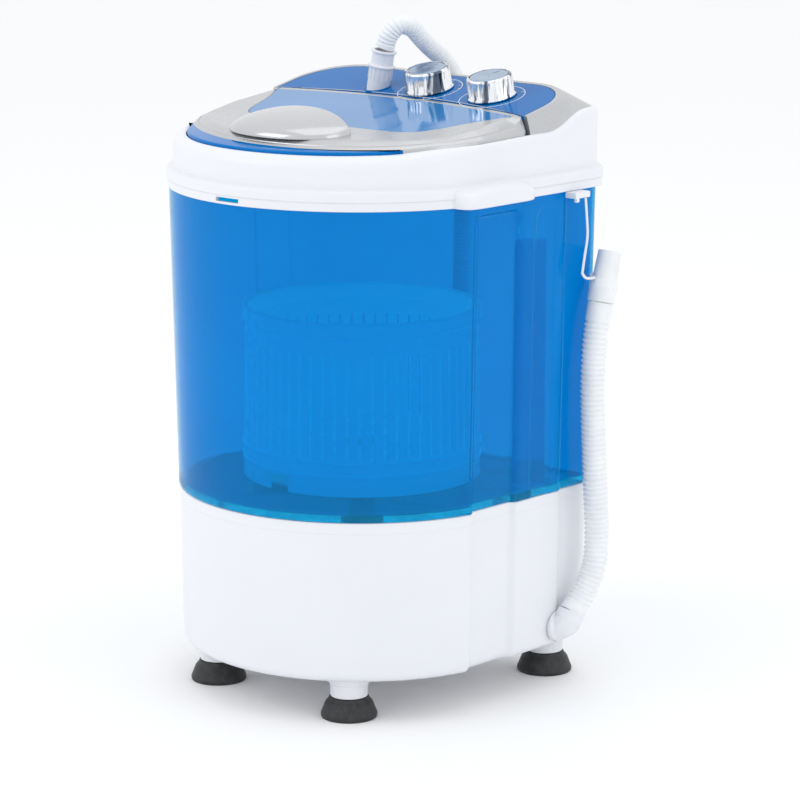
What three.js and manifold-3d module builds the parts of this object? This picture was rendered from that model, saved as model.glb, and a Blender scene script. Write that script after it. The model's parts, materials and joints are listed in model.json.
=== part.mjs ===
// Portable top load washing machine: a translucent tub between a white base and a white top ring,
// with a hinged lid, two knobs, a spin basket over a belt-driven pulsator, and two hoses.
// Units are millimetres and +Z is up. The origin is on the floor, under the middle of the machine.
import * as THREE from "three";
import { mergeVertices } from "three/addons/utils/BufferGeometryUtils.js";
import Module from "manifold-3d";

const wasm = await Module();
wasm.setup();

// ---- driving dimensions ----------------------------------------------------------------------
const GAP = 0.3; // between neighbouring pieces
const WALL = 3; // moulded plastic wall

const BASE_BOTTOM = 38.6; // heights above the floor
const BASE_TOP = 185;
const TUB_TOP = 459.4;
const BEAD_LOW = 467;
const BEAD_HIGH = 477;
const SHELF_Z = 491; // underside of the deck inside the top ring
const SHELF_THICK = 3;

const BASE_LOW_R = 164.6; // radius of the round front
const BASE_HIGH_R = 166.9;
const TUB_LOW_R = 167.5;
const TUB_HIGH_R = 173;
const COLLAR_R = 169;
const COLLAR_SIDE = 167; // half width of the straight sides of the top ring
const BACK_BASE = 147; // depth of the rear wall behind the tub axis
const BACK_TUB = 148.5;
const BACK_COLLAR = 147;
const BEAD_OUT = 8.5; // bead around the top ring, beyond its wall
const ARC_END = -32; // where the round front meets the flat side
const PANEL_IN = 9.5; // side panels set in from the round front's radius
const RIB_IN = 4.5;
const CORNER_R = 26;

const LID_FRONT_Z = 513.6; // top of the lid at its front edge
const LID_FRONT_Y = -136;
const LID_FRONT_SLOPE = 0.042;
const LID_CREASE_Y = -50; // where the lid turns up towards the control panel
const LID_REAR_SLOPE = 0.123;
const HINGE_Y = 36; // lid pin axis
const HINGE_Z = 521;
const PIN_R = 1.8;
const GRIP_AT = [0, -68];
const GRIP_HIGH = 20; // above the lid
const LID_SIDE = 161;

const DECK_Z = 532; // top of the control panel at its front edge
const DECK_Y = 62;
const DECK_ANGLE = THREE.MathUtils.degToRad(13);
const DECK_SLOPE = Math.tan(DECK_ANGLE);
const PANEL_SIDE = 153;
const PANEL_BACK = 120;
const PANEL_BOW = 0.0007; // bow of the panel's front edge, per mm squared

const KNOB_R = 20;
const KNOB_H = 20.5;
const TIMER_AT = [8.5, 82];
const SELECTOR_AT = [85, 81];
const INLET_AT = [-49, 73];

const BASKET_R = 109;
const BASKET_LOW = 193.5;
const BASKET_HIGH = 350;
const TUB_FLOOR = 187;
const FEET = { front_left: [-83.5, -104.5], front_right: [83.5, -104.5],
  rear_left: [-117, 123], rear_right: [117, 123] };
const FOOT_R = 25.5;
const MOTOR_AT = [0, 88];
const DRIVEN_R = 52;
const MOTOR_PULLEY_R = 15;
const BELT_Z = 78;

const OUTLET_AT = [88, 58]; // depth and height of the drain outlet on the right side
const OUTLET_R = 12;
const ELBOW_X = 169.4;
const DRAIN_R = 11.5;
const INLET_R = 9;
const HOSE_SIDES = 8;

// Everything is modelled about the tub axis, then moved so the overall depth is centred.
const SHIFT_Y = (COLLAR_R - BACK_COLLAR) / 2;

// ---- geometry helpers ------------------------------------------------------------------------
function toSolid(geometry) {
  const g = geometry.clone();
  g.deleteAttribute("normal");
  g.deleteAttribute("uv");
  const merged = mergeVertices(g, 1e-3);
  const build = (index) => new wasm.Manifold(new wasm.Mesh({
    numProp: 3,
    vertProperties: new Float32Array(merged.attributes.position.array),
    triVerts: index,
  }));
  const index = new Uint32Array(merged.index.array);
  const solid = build(index);
  if (solid.volume() >= 0) return solid;
  for (let i = 0; i < index.length; i += 3) [index[i + 1], index[i + 2]] = [index[i + 2], index[i + 1]];
  return build(index);
}

function toGeometry(solid) {
  const m = solid.getMesh();
  const g = new THREE.BufferGeometry();
  g.setAttribute("position", new THREE.BufferAttribute(new Float32Array(m.vertProperties), 3));
  g.setIndex(new THREE.BufferAttribute(new Uint32Array(m.triVerts), 1));
  return g;
}

const join = (...solids) => solids.reduce((a, b) => a.add(b));
const cut = (solid, ...tools) => tools.reduce((a, b) => a.subtract(b), solid);
// The main body of a solid, without slivers left where two cuts nearly meet.
const mainBody = (solid) => solid.decompose().sort((a, b) => b.volume() - a.volume())[0];
const moved = (solid, x, y, z) => solid.translate([x, y, z]);

// Surface through rings of equal point count. A looped loft closes last ring to first.
function loft(rings, looped) {
  const n = rings[0].length;
  const positions = rings.flat(2);
  const index = [];
  const spans = looped ? rings.length : rings.length - 1;
  for (let r = 0; r < spans; r++) {
    const a = r * n;
    const b = ((r + 1) % rings.length) * n;
    for (let i = 0; i < n; i++) {
      const j = (i + 1) % n;
      index.push(a + i, a + j, b + j, a + i, b + j, b + i);
    }
  }
  if (!looped) {
    const last = (rings.length - 1) * n;
    const flat = (ring) => ring.map(([x, y]) => new THREE.Vector2(x, y));
    for (const [i, j, k] of THREE.ShapeUtils.triangulateShape(flat(rings[0]), [])) index.push(i, k, j);
    for (const [i, j, k] of THREE.ShapeUtils.triangulateShape(flat(rings.at(-1)), [])) {
      index.push(last + i, last + j, last + k);
    }
  }
  const g = new THREE.BufferGeometry();
  g.setAttribute("position", new THREE.BufferAttribute(new Float32Array(positions), 3));
  g.setIndex(index);
  return toSolid(g);
}

const shapeOf = (points) => new THREE.Shape(points.map(([x, y]) => new THREE.Vector2(x, y)));
const atHeight = (points, z) => points.map(([x, y]) => [x, y, typeof z === "function" ? z(x, y) : z]);
const prism = (points, low, high) => loft([atHeight(points, low), atHeight(points, high)], false);

function box(x0, x1, y0, y1, z0, z1) {
  const g = new THREE.BoxGeometry(x1 - x0, y1 - y0, z1 - z0);
  g.translate((x0 + x1) / 2, (y0 + y1) / 2, (z0 + z1) / 2);
  return toSolid(g);
}

// Solid turned about Z from a closed list of [radius, height] points.
function turned(profile, sides = 24) {
  const points = profile.map(([r, z]) => new THREE.Vector2(r, z));
  const onAxis = profile[0][0] === 0 && profile.at(-1)[0] === 0;
  if (!onAxis) points.push(points[0].clone());
  const g = new THREE.LatheGeometry(points, sides);
  g.rotateX(Math.PI / 2);
  return toSolid(g);
}

function rod(radius, z0, z1, sides = 18) {
  return turned([[0, z0], [radius, z0], [radius, z1], [0, z1]], sides);
}

const pipe = (outer, inner, z0, z1, sides = 24) =>
  turned([[inner, z0], [outer, z0], [outer, z1], [inner, z1]], sides);

// Round bar along X.
function barX(radius, x0, x1, y, z, sides = 14) {
  return moved(rod(radius, x0, x1, sides).rotate([0, 90, 0]), 0, y, z);
}

// Bar of a drawn section carried along a smooth curve through points.
function swept(section, points, steps) {
  const path = new THREE.CatmullRomCurve3(points.map((p) => new THREE.Vector3(...p)), false,
      "centripetal");
  const g = new THREE.ExtrudeGeometry(section, { steps, bevelEnabled: false, extrudePath: path });
  return toSolid(g);
}

function circleShape(radius, sides) {
  const points = [];
  for (let i = 0; i < sides; i++) {
    const t = (i / sides) * 2 * Math.PI;
    points.push([radius * Math.cos(t), radius * Math.sin(t)]);
  }
  return shapeOf(points);
}

const tubeAlong = (radius, points, steps) => swept(circleShape(radius, HOSE_SIDES), points, steps);

const smooth = (table, y) => {
  if (y <= table[0][0]) return table[0][1];
  for (let i = 1; i < table.length; i++) {
    const [y0, z0] = table[i - 1];
    const [y1, z1] = table[i];
    if (y <= y1) return z0 + ((z1 - z0) * (y - y0)) / (y1 - y0);
  }
  return table.at(-1)[1];
};

// ---- outlines seen from above (anticlockwise from the front centre) ---------------------------
function mirrored(right) {
  const left = right.slice(1, -1).reverse().map(([x, y]) => [-x, y]);
  return [...right, ...left];
}

function cornerPoints(side, back, radius, steps) {
  const points = [];
  for (let i = 0; i <= steps; i++) {
    const t = (i / steps) * (Math.PI / 2);
    points.push([side - radius + radius * Math.cos(t), back - radius + radius * Math.sin(t)]);
  }
  return points;
}

// The body outline: a round front, a set-in side panel, a raised rear panel, a rounded rear corner.
function bodyOutline(r, back, panelIn = PANEL_IN, ribIn = RIB_IN, inset = 0) {
  const right = [];
  const end = Math.acos(-ARC_END / r);
  const arcSteps = 15;
  for (let i = 0; i <= arcSteps; i++) {
    const t = (i / arcSteps) * end;
    right.push([(r - inset) * Math.sin(t), -(r - inset) * Math.cos(t)]);
  }
  const first = r - panelIn - inset;
  const second = r - ribIn - inset;
  right.push([first, ARC_END + 4], [first, 24], [second, 31], [second, 88], [first + 1, 92]);
  right.push(...cornerPoints(first + 1, back - inset, CORNER_R - inset, 6));
  right.push([0, back - inset]);
  return mirrored(right);
}

// The top ring's outline: round front and plain straight sides.
function ringOutline(r, side, back, corner) {
  const right = [];
  const end = Math.asin(Math.min(1, side / r));
  const arcSteps = 16;
  for (let i = 0; i <= arcSteps; i++) {
    const t = (i / arcSteps) * end;
    right.push([r * Math.sin(t), -r * Math.cos(t)]);
  }
  right.push([side, 20], [side, 45], [side, 66], [side, 86], [side, 104]);
  right.push(...cornerPoints(side, back, corner, 6));
  right.push([0, back]);
  return mirrored(right);
}

// ---- heights of the top surfaces --------------------------------------------------------------
const COLLAR_EDGE = [[-150, 507.5], [-80, 511.5], [0, 511.5], [45, 513], [77, 513], [93, 521],
    [111, 530]];
const collarEdge = (x, y) => smooth(COLLAR_EDGE, y);
const lidFront = (x, y) => LID_FRONT_Z + LID_FRONT_SLOPE * (y - LID_FRONT_Y);
const lidRear = (x, y) => lidFront(0, LID_CREASE_Y) + LID_REAR_SLOPE * (y - LID_CREASE_Y);
const deckTop = (x, y) => DECK_Z + DECK_SLOPE * (y - DECK_Y);
const panelFront = (x) => DECK_Y - PANEL_BOW * x * x;

const nodes = new THREE.Group();
nodes.name = "top_load_washing_machine";

function add(name, solid, [color, roughness, metalness]) {
  const geometry = toGeometry(solid);
  geometry.translate(0, SHIFT_Y, 0);
  const material = new THREE.MeshStandardMaterial({ color, roughness, metalness });
  const mesh = new THREE.Mesh(geometry, material);
  mesh.name = name;
  nodes.add(mesh);
}

const WHITE = [0xe9edf2, 0.35, 0];
const BLUE = [0x0a78d0, 0.12, 0];
const SILVER = [0xb4b5b8, 0.38, 0.4];
const CHROME = [0xd8dade, 0.08, 1];
const RUBBER = [0x242527, 0.75, 0];
const STEEL = [0x9a9da1, 0.35, 1];
const HOSE = [0xf1f2f4, 0.45, 0];
const DARK = [0x3a3d42, 0.6, 0];
const COPPER = [0x8d6a44, 0.5, 0.6];

// ---- base, feet and bottom cover --------------------------------------------------------------
function baseShell() {
  const low = BASE_BOTTOM;
  const levels = [[low, BASE_LOW_R - 7, BACK_BASE - 9], [low + 3, BASE_LOW_R - 2, BACK_BASE - 4],
    [low + 9, BASE_LOW_R, BACK_BASE - 2], [BASE_TOP - GAP, BASE_HIGH_R, BACK_BASE]];
  const outer = levels.map(([z, r, back]) => atHeight(bodyOutline(r, back), z));
  const inner = levels.toReversed().map(([z, r, back]) =>
    atHeight(bodyOutline(r, back, PANEL_IN, RIB_IN, WALL), z));
  const shell = loft([...outer, ...inner], true);
  const outletHole = moved(rod(OUTLET_R + 0.8, 0, 40).rotate([0, 90, 0]), 140, OUTLET_AT[0],
      OUTLET_AT[1]);
  const glandHole = moved(rod(6.3, 0, 30).rotate([-90, 0, 0]), -60, 130, 78);
  return cut(shell, outletHole, glandHole);
}

function bottomCover() {
  const plate = prism(bodyOutline(BASE_LOW_R - 6, BACK_BASE - 8, PANEL_IN, RIB_IN, WALL + GAP),
    BASE_BOTTOM + 0.5, BASE_BOTTOM + 3);
  const holes = Object.values(FEET).map(([x, y]) => moved(rod(9.3, 30, 50), x, y, 0));
  return cut(plate, ...holes);
}

function footSleeve([x, y]) {
  const z = BASE_BOTTOM - 0.2;
  const sleeve = turned([[0, 17.5], [13.5, 17.5], [13.5, 19.5], [16.8, 19.5], [17.2, z - 7],
      [19.2, z - 6],
    [19.6, z], [9, z], [9, z + 12], [0, z + 12]], 20);
  return moved(sleeve, x, y, 0);
}

function suctionFoot([x, y]) {
  const cup = turned([[0, 5], [8, 5], [17, 2], [20, 0], [FOOT_R - 0.7, 0], [FOOT_R, 3.2],
      [FOOT_R - 2.2, 8],
    [21.5, 13.5], [18.2, 17], [17.6, 19], [14.2, 19], [13.8, 17.2], [0, 17.2]], 22);
  return moved(cup, x, y, 0);
}

// ---- tub and what sits in it -------------------------------------------------------------------
function tubShell() {
  const top = TUB_TOP - GAP;
  const levels = [[BASE_TOP, TUB_LOW_R, BACK_TUB - 1], [430, TUB_HIGH_R - 0.6, BACK_TUB],
    [436, TUB_HIGH_R - 0.5, BACK_TUB, 7.5, 4.5], [top, TUB_HIGH_R, BACK_TUB, 7.5, 4.5]];
  const outer = levels.map(([z, r, back, panel, rib]) => atHeight(bodyOutline(r, back, panel, rib), z));
  const inner = [[top, TUB_HIGH_R, BACK_TUB, 7.5, 4.5], [TUB_FLOOR + 3, TUB_LOW_R, BACK_TUB - 1]]
    .map(([z, r, back, panel, rib]) => atHeight(bodyOutline(r, back, panel, rib, WALL), z));
  const shell = loft([...outer, ...inner], false);
  const boss = rod(46, TUB_FLOOR - 2, TUB_FLOOR + 3);
  const bore = rod(17.4, 150, 220);
  const drainBore = moved(rod(9, 150, 220), 118, 78, 0);
  return cut(join(shell, boss), bore, drainBore);
}

function overflowChannel() {
  const body = [];
  for (let i = 0; i <= 10; i++) {
    const t = Math.PI / 2 + (i / 10) * Math.PI;
    body.push([150 + 17 * Math.cos(t), 62 + 20 * Math.sin(t)]);
  }
  const channel = prism(body, TUB_FLOOR + 4, 415);
  const slots = [];
  for (let i = 0; i < 6; i++) slots.push(box(120, 137, 52, 72, 360 + i * 8, 363 + i * 8));
  return cut(channel, ...slots);
}

// ---- top ring: wall, bead, lower skirt, deck and side grips ---------------------------------------
function gripLedge(sign) {
  const top = [];
  for (let i = 0; i <= 12; i++) {
    const y = -57 + (91 * i) / 12;
    top.push([y, 470 + 5.5 * Math.sin((Math.PI * i) / 12) ** 0.8]);
  }
  const outline = [[160, -57], [176, -57], [181.5, -55], [184, -50], [184, 28], [181.5, 33], [176, 34],
      [160, 34]];
  const ledge = prism(outline, TUB_TOP, (x, y) => smooth(top, y) + (184 - x) * 0.25);
  return sided(ledge, sign);
}

function collar() {
  const back = BACK_COLLAR;
  const ring = (out) => ringOutline(COLLAR_R + out, COLLAR_SIDE + out, back + out, CORNER_R + out);
  const wallLow = TUB_TOP;
  const outer = [atHeight(ring(4.5), wallLow), atHeight(ring(4.5), BEAD_LOW),
      atHeight(ring(BEAD_OUT), BEAD_LOW + 1),
    atHeight(ring(BEAD_OUT), BEAD_HIGH - 2), atHeight(ring(BEAD_OUT - 2), BEAD_HIGH),
    atHeight(ring(0), BEAD_HIGH + 1), atHeight(ring(0), collarEdge)];
  const inner = [atHeight(ring(-WALL), collarEdge), atHeight(ring(-WALL), BEAD_HIGH),
    atHeight(ring(1), BEAD_LOW), atHeight(ring(1), wallLow)];
  const wall = loft([...outer, ...inner], true);
  const mouth = mouthOutline();
  const shelf = cut(prism(ring(-WALL + 0.5), SHELF_Z, SHELF_Z + SHELF_THICK),
      prism(mouth, SHELF_Z - 5, SHELF_Z + 9));
  const lip = cut(prism(scaled(mouth, 1.025), SHELF_Z - 12, SHELF_Z + 1),
      prism(mouth, SHELF_Z - 20, SHELF_Z + 9));
  const frontWindow = box(-8, 19, -185, -150, 461.5, 465.5);
  const body = join(wall, shelf, lip, gripLedge(1), gripLedge(-1));
  const tubSpace = prism(ringOutline(COLLAR_R + 1, COLLAR_SIDE + 1, back + 1, CORNER_R + 1),
      wallLow - 5, BEAD_LOW - 1);
  const inlet = moved(rod(12.5 + GAP, SHELF_Z - 10, SHELF_Z + 20), INLET_AT[0], INLET_AT[1], 0);
  return cut(body, tubSpace, frontWindow, inlet);
}

const scaled = (points, factor) => points.map(([x, y]) => [x * factor, y * factor]);

function mouthOutline() {
  const right = [];
  for (let i = 0; i <= 14; i++) {
    const t = (i / 14) * THREE.MathUtils.degToRad(100);
    right.push([128 * Math.sin(t), -8 - 118 * Math.cos(t)]);
  }
  right.push([112, 26], [96, 32], [0, 34]);
  return mirrored(right);
}

// ---- control deck ---------------------------------------------------------------------------------
function deckOutline(side, back, corner, front) {
  const right = [];
  for (let i = 0; i <= 8; i++) {
    const x = (side * i) / 8;
    right.push([x, front(x)]);
  }
  right.push([side, back - corner - 6]);
  right.push(...cornerPoints(side, back, corner, 8));
  right.push([0, back]);
  return mirrored(right);
}

function panelSurround() {
  const front = (x) => panelFront(x) + 0.5;
  const lowZ = (x, y) => collarEdge(x, y) - 1;
  const frustum = (drop) => loft([atHeight(deckOutline(COLLAR_SIDE - WALL - 0.6, 143.4, 24, front),
      (x, y) => lowZ(x, y) - drop),
    atHeight(deckOutline(COLLAR_SIDE - WALL - 1.5, 142, 26, front), (x, y) => lowZ(x, y) + 1.5 - drop),
    atHeight(deckOutline(PANEL_SIDE + 3.5, PANEL_BACK + 4, 52, front),
        (x, y) => deckTop(x, y) + 0.4 - drop)], false);
  const opening = prism(deckOutline(PANEL_SIDE + GAP, PANEL_BACK + GAP, 50, (x) => panelFront(x) - 40),
      480, 580);
  return cut(frustum(0), frustum(3), opening);
}

function controlPanel() {
  const outline = deckOutline(PANEL_SIDE, PANEL_BACK, 50, (x) => panelFront(x));
  const plate = loft([atHeight(outline, (x, y) => deckTop(x, y) - 4.2), atHeight(outline, deckTop)],
      false);
  const holes = [TIMER_AT, SELECTOR_AT].map(([x, y]) => onDeck(rod(5, -12, 6), x, y));
  const inlet = onDeck(rod(13.6, -12, 6), ...INLET_AT);
  return cut(plate, ...holes, inlet);
}

// Puts a solid made about the local Z axis onto the sloping deck at x, y.
function onDeck(solid, x, y) {
  return moved(solid.rotate([THREE.MathUtils.radToDeg(DECK_ANGLE), 0, 0]), x, y, deckTop(x, y));
}

function timerBody([x, y], width) {
  const half = width / 2;
  const can = box(-half, half, -15, 15, -24, -5.2);
  const neck = rod(4.3, -6, -4.8);
  return onDeck(cut(join(can, neck), rod(3.3, -19, 0)), x, y);
}

const knobShaft = ([x, y]) => onDeck(rod(3, -18, 13), x, y);

function knobShell([x, y]) {
  const facets = 12;
  const outline = [];
  for (let i = 0; i < facets * 3; i++) {
    const t = (i / (facets * 3)) * 2 * Math.PI;
    const groove = i % 3 === 0 ? 0.75 : 0;
    outline.push([(KNOB_R - groove) * Math.cos(t), (KNOB_R - groove) * Math.sin(t)]);
  }
  const ringAt = (factor, z) => atHeight(scaled(outline, factor), z);
  const skirt = loft([ringAt(1.03, 1), ringAt(1, 3), ringAt(0.985, KNOB_H - 2),
      ringAt(0.95, KNOB_H - 0.4),
    ringAt(0.92, KNOB_H)], false);
  const hollow = pipe(17.2, 6.5, -1, KNOB_H - 4.5, 20);
  const capSeat = rod(17.4 + GAP, KNOB_H - 1.2, KNOB_H + 5, 28);
  return onDeck(cut(skirt, hollow, capSeat, rod(3 + GAP, -2, 13.4)), x, y);
}

function knobCap([x, y]) {
  const disc = rod(17.4, KNOB_H - 0.9, KNOB_H + 0.1, 28);
  const mark = box(-1.1, 1.1, 7, 15, KNOB_H, KNOB_H + 0.6);
  return onDeck(join(disc, mark), x, y);
}

// ---- lid --------------------------------------------------------------------------------------------
function lidOutline(side, front, inset, rearIn) {
  const right = [];
  const r = 194 - inset;
  const centreY = front + 194;
  const end = Math.asin(126 / 194);
  for (let i = 0; i <= 10; i++) {
    const t = (i / 10) * end;
    right.push([r * Math.sin(t), centreY - r * Math.cos(t)]);
  }
  const rear = (x) => panelFront(x) - 3.5 - rearIn;
  right.push([145 - inset * 0.8, front + 73], [155 - inset * 0.95, front + 95],
    [side - inset, front + 122], [side - inset, -8]);
  right.push([side - inset, rear(side - inset) - 1]);
  for (let i = 7; i >= 0; i--) {
    const x = ((side - inset) * i) / 8;
    right.push([x, rear(x)]);
  }
  return mirrored(right);
}

function paneOutline(grow) {
  const right = [[0, -50 - grow], [32, -50 - grow], [64, -49.5 - grow], [90, -47 - grow],
      [104 + grow, -40 - grow],
    [114 + grow, -25 - grow], [124 + grow, 0], [135 + grow, 22], [147 + grow, 36]];
  for (let i = 6; i >= 0; i--) {
    const x = ((148 + grow) * i) / 7;
    right.push([x, panelFront(x) - 7 + grow]);
  }
  return mirrored(right);
}

function lidFrame() {
  const skirtLow = SHELF_Z + SHELF_THICK + 0.6;
  const under = (surface, drop, inset) => {
    const edge = (x, y) => Math.min(surface(x, y) - 1.5, collarEdge(x, y) + 2.2);
    const outline = lidOutline(LID_SIDE, LID_FRONT_Y, inset, inset);
    return loft([atHeight(outline, skirtLow - drop), atHeight(outline, (x, y) => edge(x, y) - drop),
      atHeight(lidOutline(LID_SIDE, LID_FRONT_Y, inset + 14, inset),
          (x, y) => surface(x, y) - drop)], false);
  };
  const skin = (drop, inset) => join(under(lidFront, drop, inset), under(lidRear, drop, inset));
  const frame = cut(skin(0, 0), skin(2.6, 2.6));
  const paneHole = prism(paneOutline(GAP), 500, 560);
  const rearNotch = box(-156, 156, HINGE_Y - 6, 80, 480, HINGE_Z - 1);
  const lug = (x) => box(x, x + 5, HINGE_Y - 4.5, HINGE_Y + 4.5, HINGE_Z - 4.5, HINGE_Z + 1.5);
  const pinHoles = barX(PIN_R + GAP, -155, 155, HINGE_Y, HINGE_Z);
  return mainBody(cut(join(cut(frame, paneHole, rearNotch), lug(147), lug(-152)), pinHoles));
}

function lidPane() {
  const outline = paneOutline(0);
  return loft([atHeight(outline, (x, y) => lidRear(x, y) - 3),
      atHeight(outline, (x, y) => lidRear(x, y) - 0.2)], false);
}

// The domed grip on the lid, with a finger recess in its top.
function lidGrip() {
  const low = lidFront(0, GRIP_AT[1]) - 5;
  const ellipsoid = (size, x, y, z, across, up) => {
    const g = new THREE.SphereGeometry(1, across, up);
    g.rotateX(Math.PI / 2);
    g.scale(...size);
    return moved(toSolid(g), x, y, z);
  };
  const above = (surface, lift) => {
    const field = [[-100, -180], [100, -180], [100, 60], [-100, 60]];
    return loft([atHeight(field, (x, y) => surface(x, y) + lift), atHeight(field, 620)], false);
  };
  const dome = ellipsoid([78, 67, GRIP_HIGH + 5], ...GRIP_AT, low, 30, 16);
  const recess = ellipsoid([50, 30, 14], 10, GRIP_AT[1] + 18, low + GRIP_HIGH + 11, 24, 12);
  const hollow = ellipsoid([60, 48, 9.5], ...GRIP_AT, low, 20, 8);
  return cut(dome.intersect(above(lidFront, GAP)).intersect(above(lidRear, GAP)), hollow, recess);
}

function lidTrim() {
  const half = THREE.MathUtils.degToRad(56);
  const outer = [];
  const inner = [];
  for (let i = 0; i <= 24; i++) {
    const t = -half + (2 * half * i) / 24;
    outer.push([(COLLAR_R - 0.5) * Math.sin(t), -(COLLAR_R - 0.5) * Math.cos(t)]);
  }
  const end = Math.asin(131 / 194);
  for (let i = 0; i <= 24; i++) {
    const t = end - (2 * end * i) / 24;
    inner.push([194.8 * Math.sin(t), LID_FRONT_Y + 194 - 194.8 * Math.cos(t)]);
  }
  const outline = [...outer, ...inner];
  return loft([atHeight(outline, (x, y) => collarEdge(x, y) + 0.6),
    atHeight(outline, (x, y) => lidFront(x, y) - 0.6)], false);
}

const sided = (solid, sign) => (sign > 0 ? solid : solid.mirror([1, 0, 0]));

function hingeBracket(sign) {
  const post = box(140, 145.6, HINGE_Y - 7.6, HINGE_Y - 1.4, SHELF_Z + SHELF_THICK + GAP, HINGE_Z);
  const head = barX(3.4, 140, 145.6, HINGE_Y, HINGE_Z);
  return sided(cut(join(post, head), barX(PIN_R + GAP, 130, 150, HINGE_Y, HINGE_Z)), sign);
}

const hingePin = (sign) => sided(barX(PIN_R, 139, 152.5, HINGE_Y, HINGE_Z), sign);

// ---- spin basket, pulsator and drive ----------------------------------------------------------------
function basket() {
  const top = BASKET_HIGH;
  const shell = turned([[BASKET_R - 2.2, BASKET_LOW], [BASKET_R, BASKET_LOW], [BASKET_R - 1, 200],
      [BASKET_R - 3, top - 14],
    [BASKET_R - 0.5, top - 13], [BASKET_R, top - 2], [BASKET_R - 2, top], [BASKET_R - 7, top - 1],
    [BASKET_R - 6, 222], [21, 222], [21, 219], [BASKET_R - 4.5, 219]], 48);
  const slots = [];
  const count = 24;
  for (let i = 0; i < count; i++) {
    slots.push(box(-1.4, 1.4, -BASKET_R - 5, -BASKET_R + 12, 226, 320).rotate([0, 0, (360 * i) / count]));
  }
  const notch = box(-11, 11, -BASKET_R - 5, -BASKET_R + 6, 190, 206);
  return cut(shell, ...slots, notch, notch.mirror([0, 1, 0]));
}

function pulsator() {
  const disc = turned([[0, 193], [96, 193], [98, 196], [92, 201], [40, 206], [22, 214], [12, 216.5],
      [0, 216.5]], 32);
  const vanes = [];
  for (let i = 0; i < 4; i++) {
    const vane = loft([atHeight([[14, -5], [84, -3.5], [84, 3.5], [14, 5]], 199),
      atHeight([[14, -2.5], [76, -1.5], [76, 1.5], [14, 2.5]], (x) => 216.4 - (x - 14) * 0.13)], false);
    vanes.push(vane.rotate([0, 0, 90 * i + 20]));
  }
  return cut(join(disc, ...vanes), rod(5 + GAP, 180, 211.8), rod(3 + GAP, 210, 230),
      rod(6.5 + GAP, 213.5, 230));
}

const driveShaft = () => cut(rod(5, 64, 211.5), rod(2.2, 200, 212));
const pulsatorScrew = () => turned([[0, 201.5], [1.9, 201.5], [2, 213.8], [6.2, 213.8], [6.2, 216],
    [4.5, 217.2],
  [0, 217.2]], 20);

function pulley(radius, bore, hub) {
  const half = 6;
  return cut(turned([[0, BELT_Z - half], [radius + 3, BELT_Z - half], [radius + 3, BELT_Z - half + 1.2],
    [radius - 2, BELT_Z], [radius + 3, BELT_Z + half - 1.2], [radius + 3, BELT_Z + half],
    [hub, BELT_Z + half],
    [hub, BELT_Z + 10], [0, BELT_Z + 10]], 28), rod(bore, 40, 120));
}

const drivenPulley = () => pulley(DRIVEN_R, 5 + GAP, 12);
const motorPulley = () => moved(pulley(MOTOR_PULLEY_R, 4 + GAP, 8), ...MOTOR_AT, 0);

function driveBelt() {
  const loop = (clear) => {
    const points = [];
    const gap = Math.hypot(...MOTOR_AT);
    const lean = Math.asin((DRIVEN_R - MOTOR_PULLEY_R) / gap);
    for (let i = 0; i <= 24; i++) {
      const t = Math.PI - lean + (i / 24) * (Math.PI + 2 * lean);
      points.push([(DRIVEN_R + clear) * Math.cos(t), (DRIVEN_R + clear) * Math.sin(t)]);
    }
    for (let i = 0; i <= 12; i++) {
      const t = lean + (i / 12) * (Math.PI - 2 * lean);
      const r = MOTOR_PULLEY_R + clear;
      points.push([MOTOR_AT[0] + r * Math.cos(t), MOTOR_AT[1] + r * Math.sin(t)]);
    }
    return points;
  };
  return cut(prism(loop(5.6), BELT_Z - 3, BELT_Z + 3), prism(loop(3.4), BELT_Z - 5, BELT_Z + 5));
}

function bearingHousing() {
  return turned([[5.5, 96], [15, 96], [15, 150], [30, 166], [30, 184.7], [17, 184.7], [17, 189],
      [5.5, 189]], 28);
}

const shaftSeal = () => pipe(11, 5.3, 189.3, 192.6, 28);

function motorHousing() {
  const can = turned([[4.6, 96], [30, 96], [44, 101], [44, 172], [4.6, 172]], 28);
  const pocket = rod(33, 88, 108);
  return moved(cut(can, pocket), ...MOTOR_AT, 0);
}

function motorRotor() {
  const shaft = rod(4, 66, 160);
  const fan = rod(14, 97.5, 106);
  const blades = [0, 45, 90, 135].map((a) => box(-30, 30, -1, 1, 98, 105).rotate([0, 0, a]));
  return moved(join(shaft, fan, ...blades), ...MOTOR_AT, 0);
}

function motorBracket() {
  const plate = prism([[-62, 30], [62, 30], [70, 128], [-70, 128]], 180.6, 184.6);
  const collarRing = moved(pipe(48, 44.4, 150, 181, 36), ...MOTOR_AT, 0);
  return cut(join(plate, collarRing), rod(31, 170, 190));
}

function capacitor() {
  const can = turned([[0, 42.2], [17, 42.2], [17, 96], [15.5, 98], [6, 98], [6, 104], [0, 104]], 28);
  return moved(can, -86, 62, 0);
}

const cordGland = () => moved(turned([[3.6, 0], [6, 0], [6, 10.3], [9, 10.3], [9, 13.5], [6.4, 18],
    [3.6, 18]], 18)
  .rotate([-90, 0, 0]), -60, BACK_BASE - 10, 78);

// ---- water path --------------------------------------------------------------------------------------
// Turns a solid made along Z so it points from one place to another.
function aimed(solid, from, to) {
  const d = new THREE.Vector3(...to).sub(new THREE.Vector3(...from)).normalize();
  const tilt = THREE.MathUtils.radToDeg(Math.acos(d.z));
  const turn = THREE.MathUtils.radToDeg(Math.atan2(d.y, d.x));
  return moved(solid.rotate([0, tilt, turn]), ...from);
}

const drainPipe = () => tubeAlong(8.2, [[118, 78, 188.5], [118, 78, 150], [118, 80, 100], [122, 84, 70],
    [132, 87, 59],
  [144.5, 88, 58]], 16);

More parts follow.
